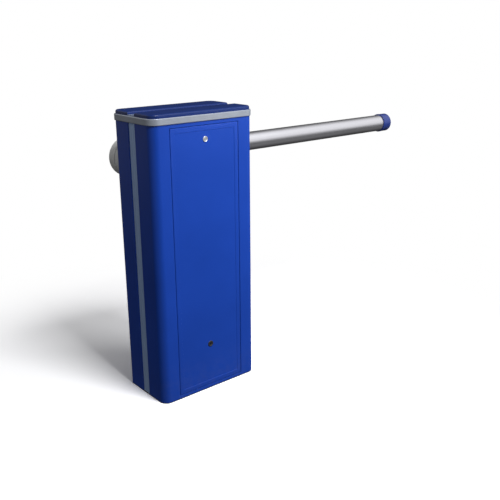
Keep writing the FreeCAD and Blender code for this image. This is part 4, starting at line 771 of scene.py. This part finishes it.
# The camera's turns are in radians, from looking level along +Y.
yaw, pitch, roll = 0.6955, 0.3115, -0.0077
ahead = Vector((math.sin(yaw) * math.cos(pitch), math.cos(yaw) * math.cos(pitch), -math.sin(pitch)))
right = Vector((math.cos(yaw), -math.sin(yaw), 0))
above = right.cross(ahead)
across = right * math.cos(roll) + above * math.sin(roll)
upward = above * math.cos(roll) - right * math.sin(roll)
camera = bpy.data.objects.new("camera", bpy.data.cameras.new("camera"))
camera.data.lens = 50.5
camera.data.sensor_width = 36
camera.matrix_world = Matrix((across, upward, -ahead)).transposed().to_4x4()
camera.location = (-1.406, -2.0389, 1.3072)
bpy.context.scene.collection.objects.link(camera)
bpy.context.scene.camera = camera


def soft_light(name, place, aim, size, power):
    lamp = bpy.data.objects.new(name, bpy.data.lights.new(name, "AREA"))
    lamp.data.shape = "SQUARE"
    lamp.data.size = size
    lamp.data.energy = power
    lamp.location = place
    lamp.rotation_mode = "QUATERNION"
    lamp.rotation_quaternion = (Vector(aim) - Vector(place)).to_track_quat("-Z", "Y")
    bpy.context.scene.collection.objects.link(lamp)
    return lamp


soft_light("key", place=(0.2, -2.35, 3.8), aim=(0.05, 0, 0.4), size=1.3, power=140)
near = soft_light("near", place=(1.1, -1.1, 1.3), aim=(0.2, -0.1, 0.8), size=0.8, power=16)
near.visible_glossy = False

world = bpy.data.worlds.new("studio")
world.use_nodes = True
bpy.context.scene.world = world
sky = world.node_tree
background = sky.nodes["Background"]
path = add(sky, "ShaderNodeLightPath").outputs
look = add(sky, "ShaderNodeTexCoord").outputs["Generated"]
heading = add(sky, "ShaderNodeSeparateXYZ", {0: look}).outputs
# Dim overhead, a glow off the ground in front, and three bright patches that stop below the horizon.
overhead = remap(sky, heading["Z"], (0.25, 0.85), (0.04, 0.15))
ground_glow = remap(sky, heading["Z"], (-0.1, -0.6), (0.0, 0.16))
front = remap(sky, heading["Y"], (0.1, -0.4))
dome = worked(sky, "MULTIPLY_ADD", ground_glow, front, overhead)
above_ground = remap(sky, heading["Z"], (-0.3, 0.1))
for side, edge, brightness in (((0.59, -0.63, 0.5), 0.38, 1.0), ((-0.93, -0.25, 0.27), 0.45, 0.5),
                               ((-0.46, 0.85, 0.26), 0.65, 0.45)):
    toward = add(sky, "ShaderNodeVectorMath", {0: look, 1: side}, operation="DOT_PRODUCT").outputs["Value"]
    patch = remap(sky, toward, (edge, 0.95), (0.0, brightness), interpolation_type="SMOOTHSTEP")
    dome = worked(sky, "MULTIPLY_ADD", patch, above_ground, dome)
dome = worked(sky, "MULTIPLY", dome, remap(sky, path["Is Diffuse Ray"], after=(1.0, 0.5)))
sky.links.new(mixed(sky, path["Is Camera Ray"], dome, white), background.inputs["Color"])
bpy.context.scene.view_settings.view_transform = "Standard"
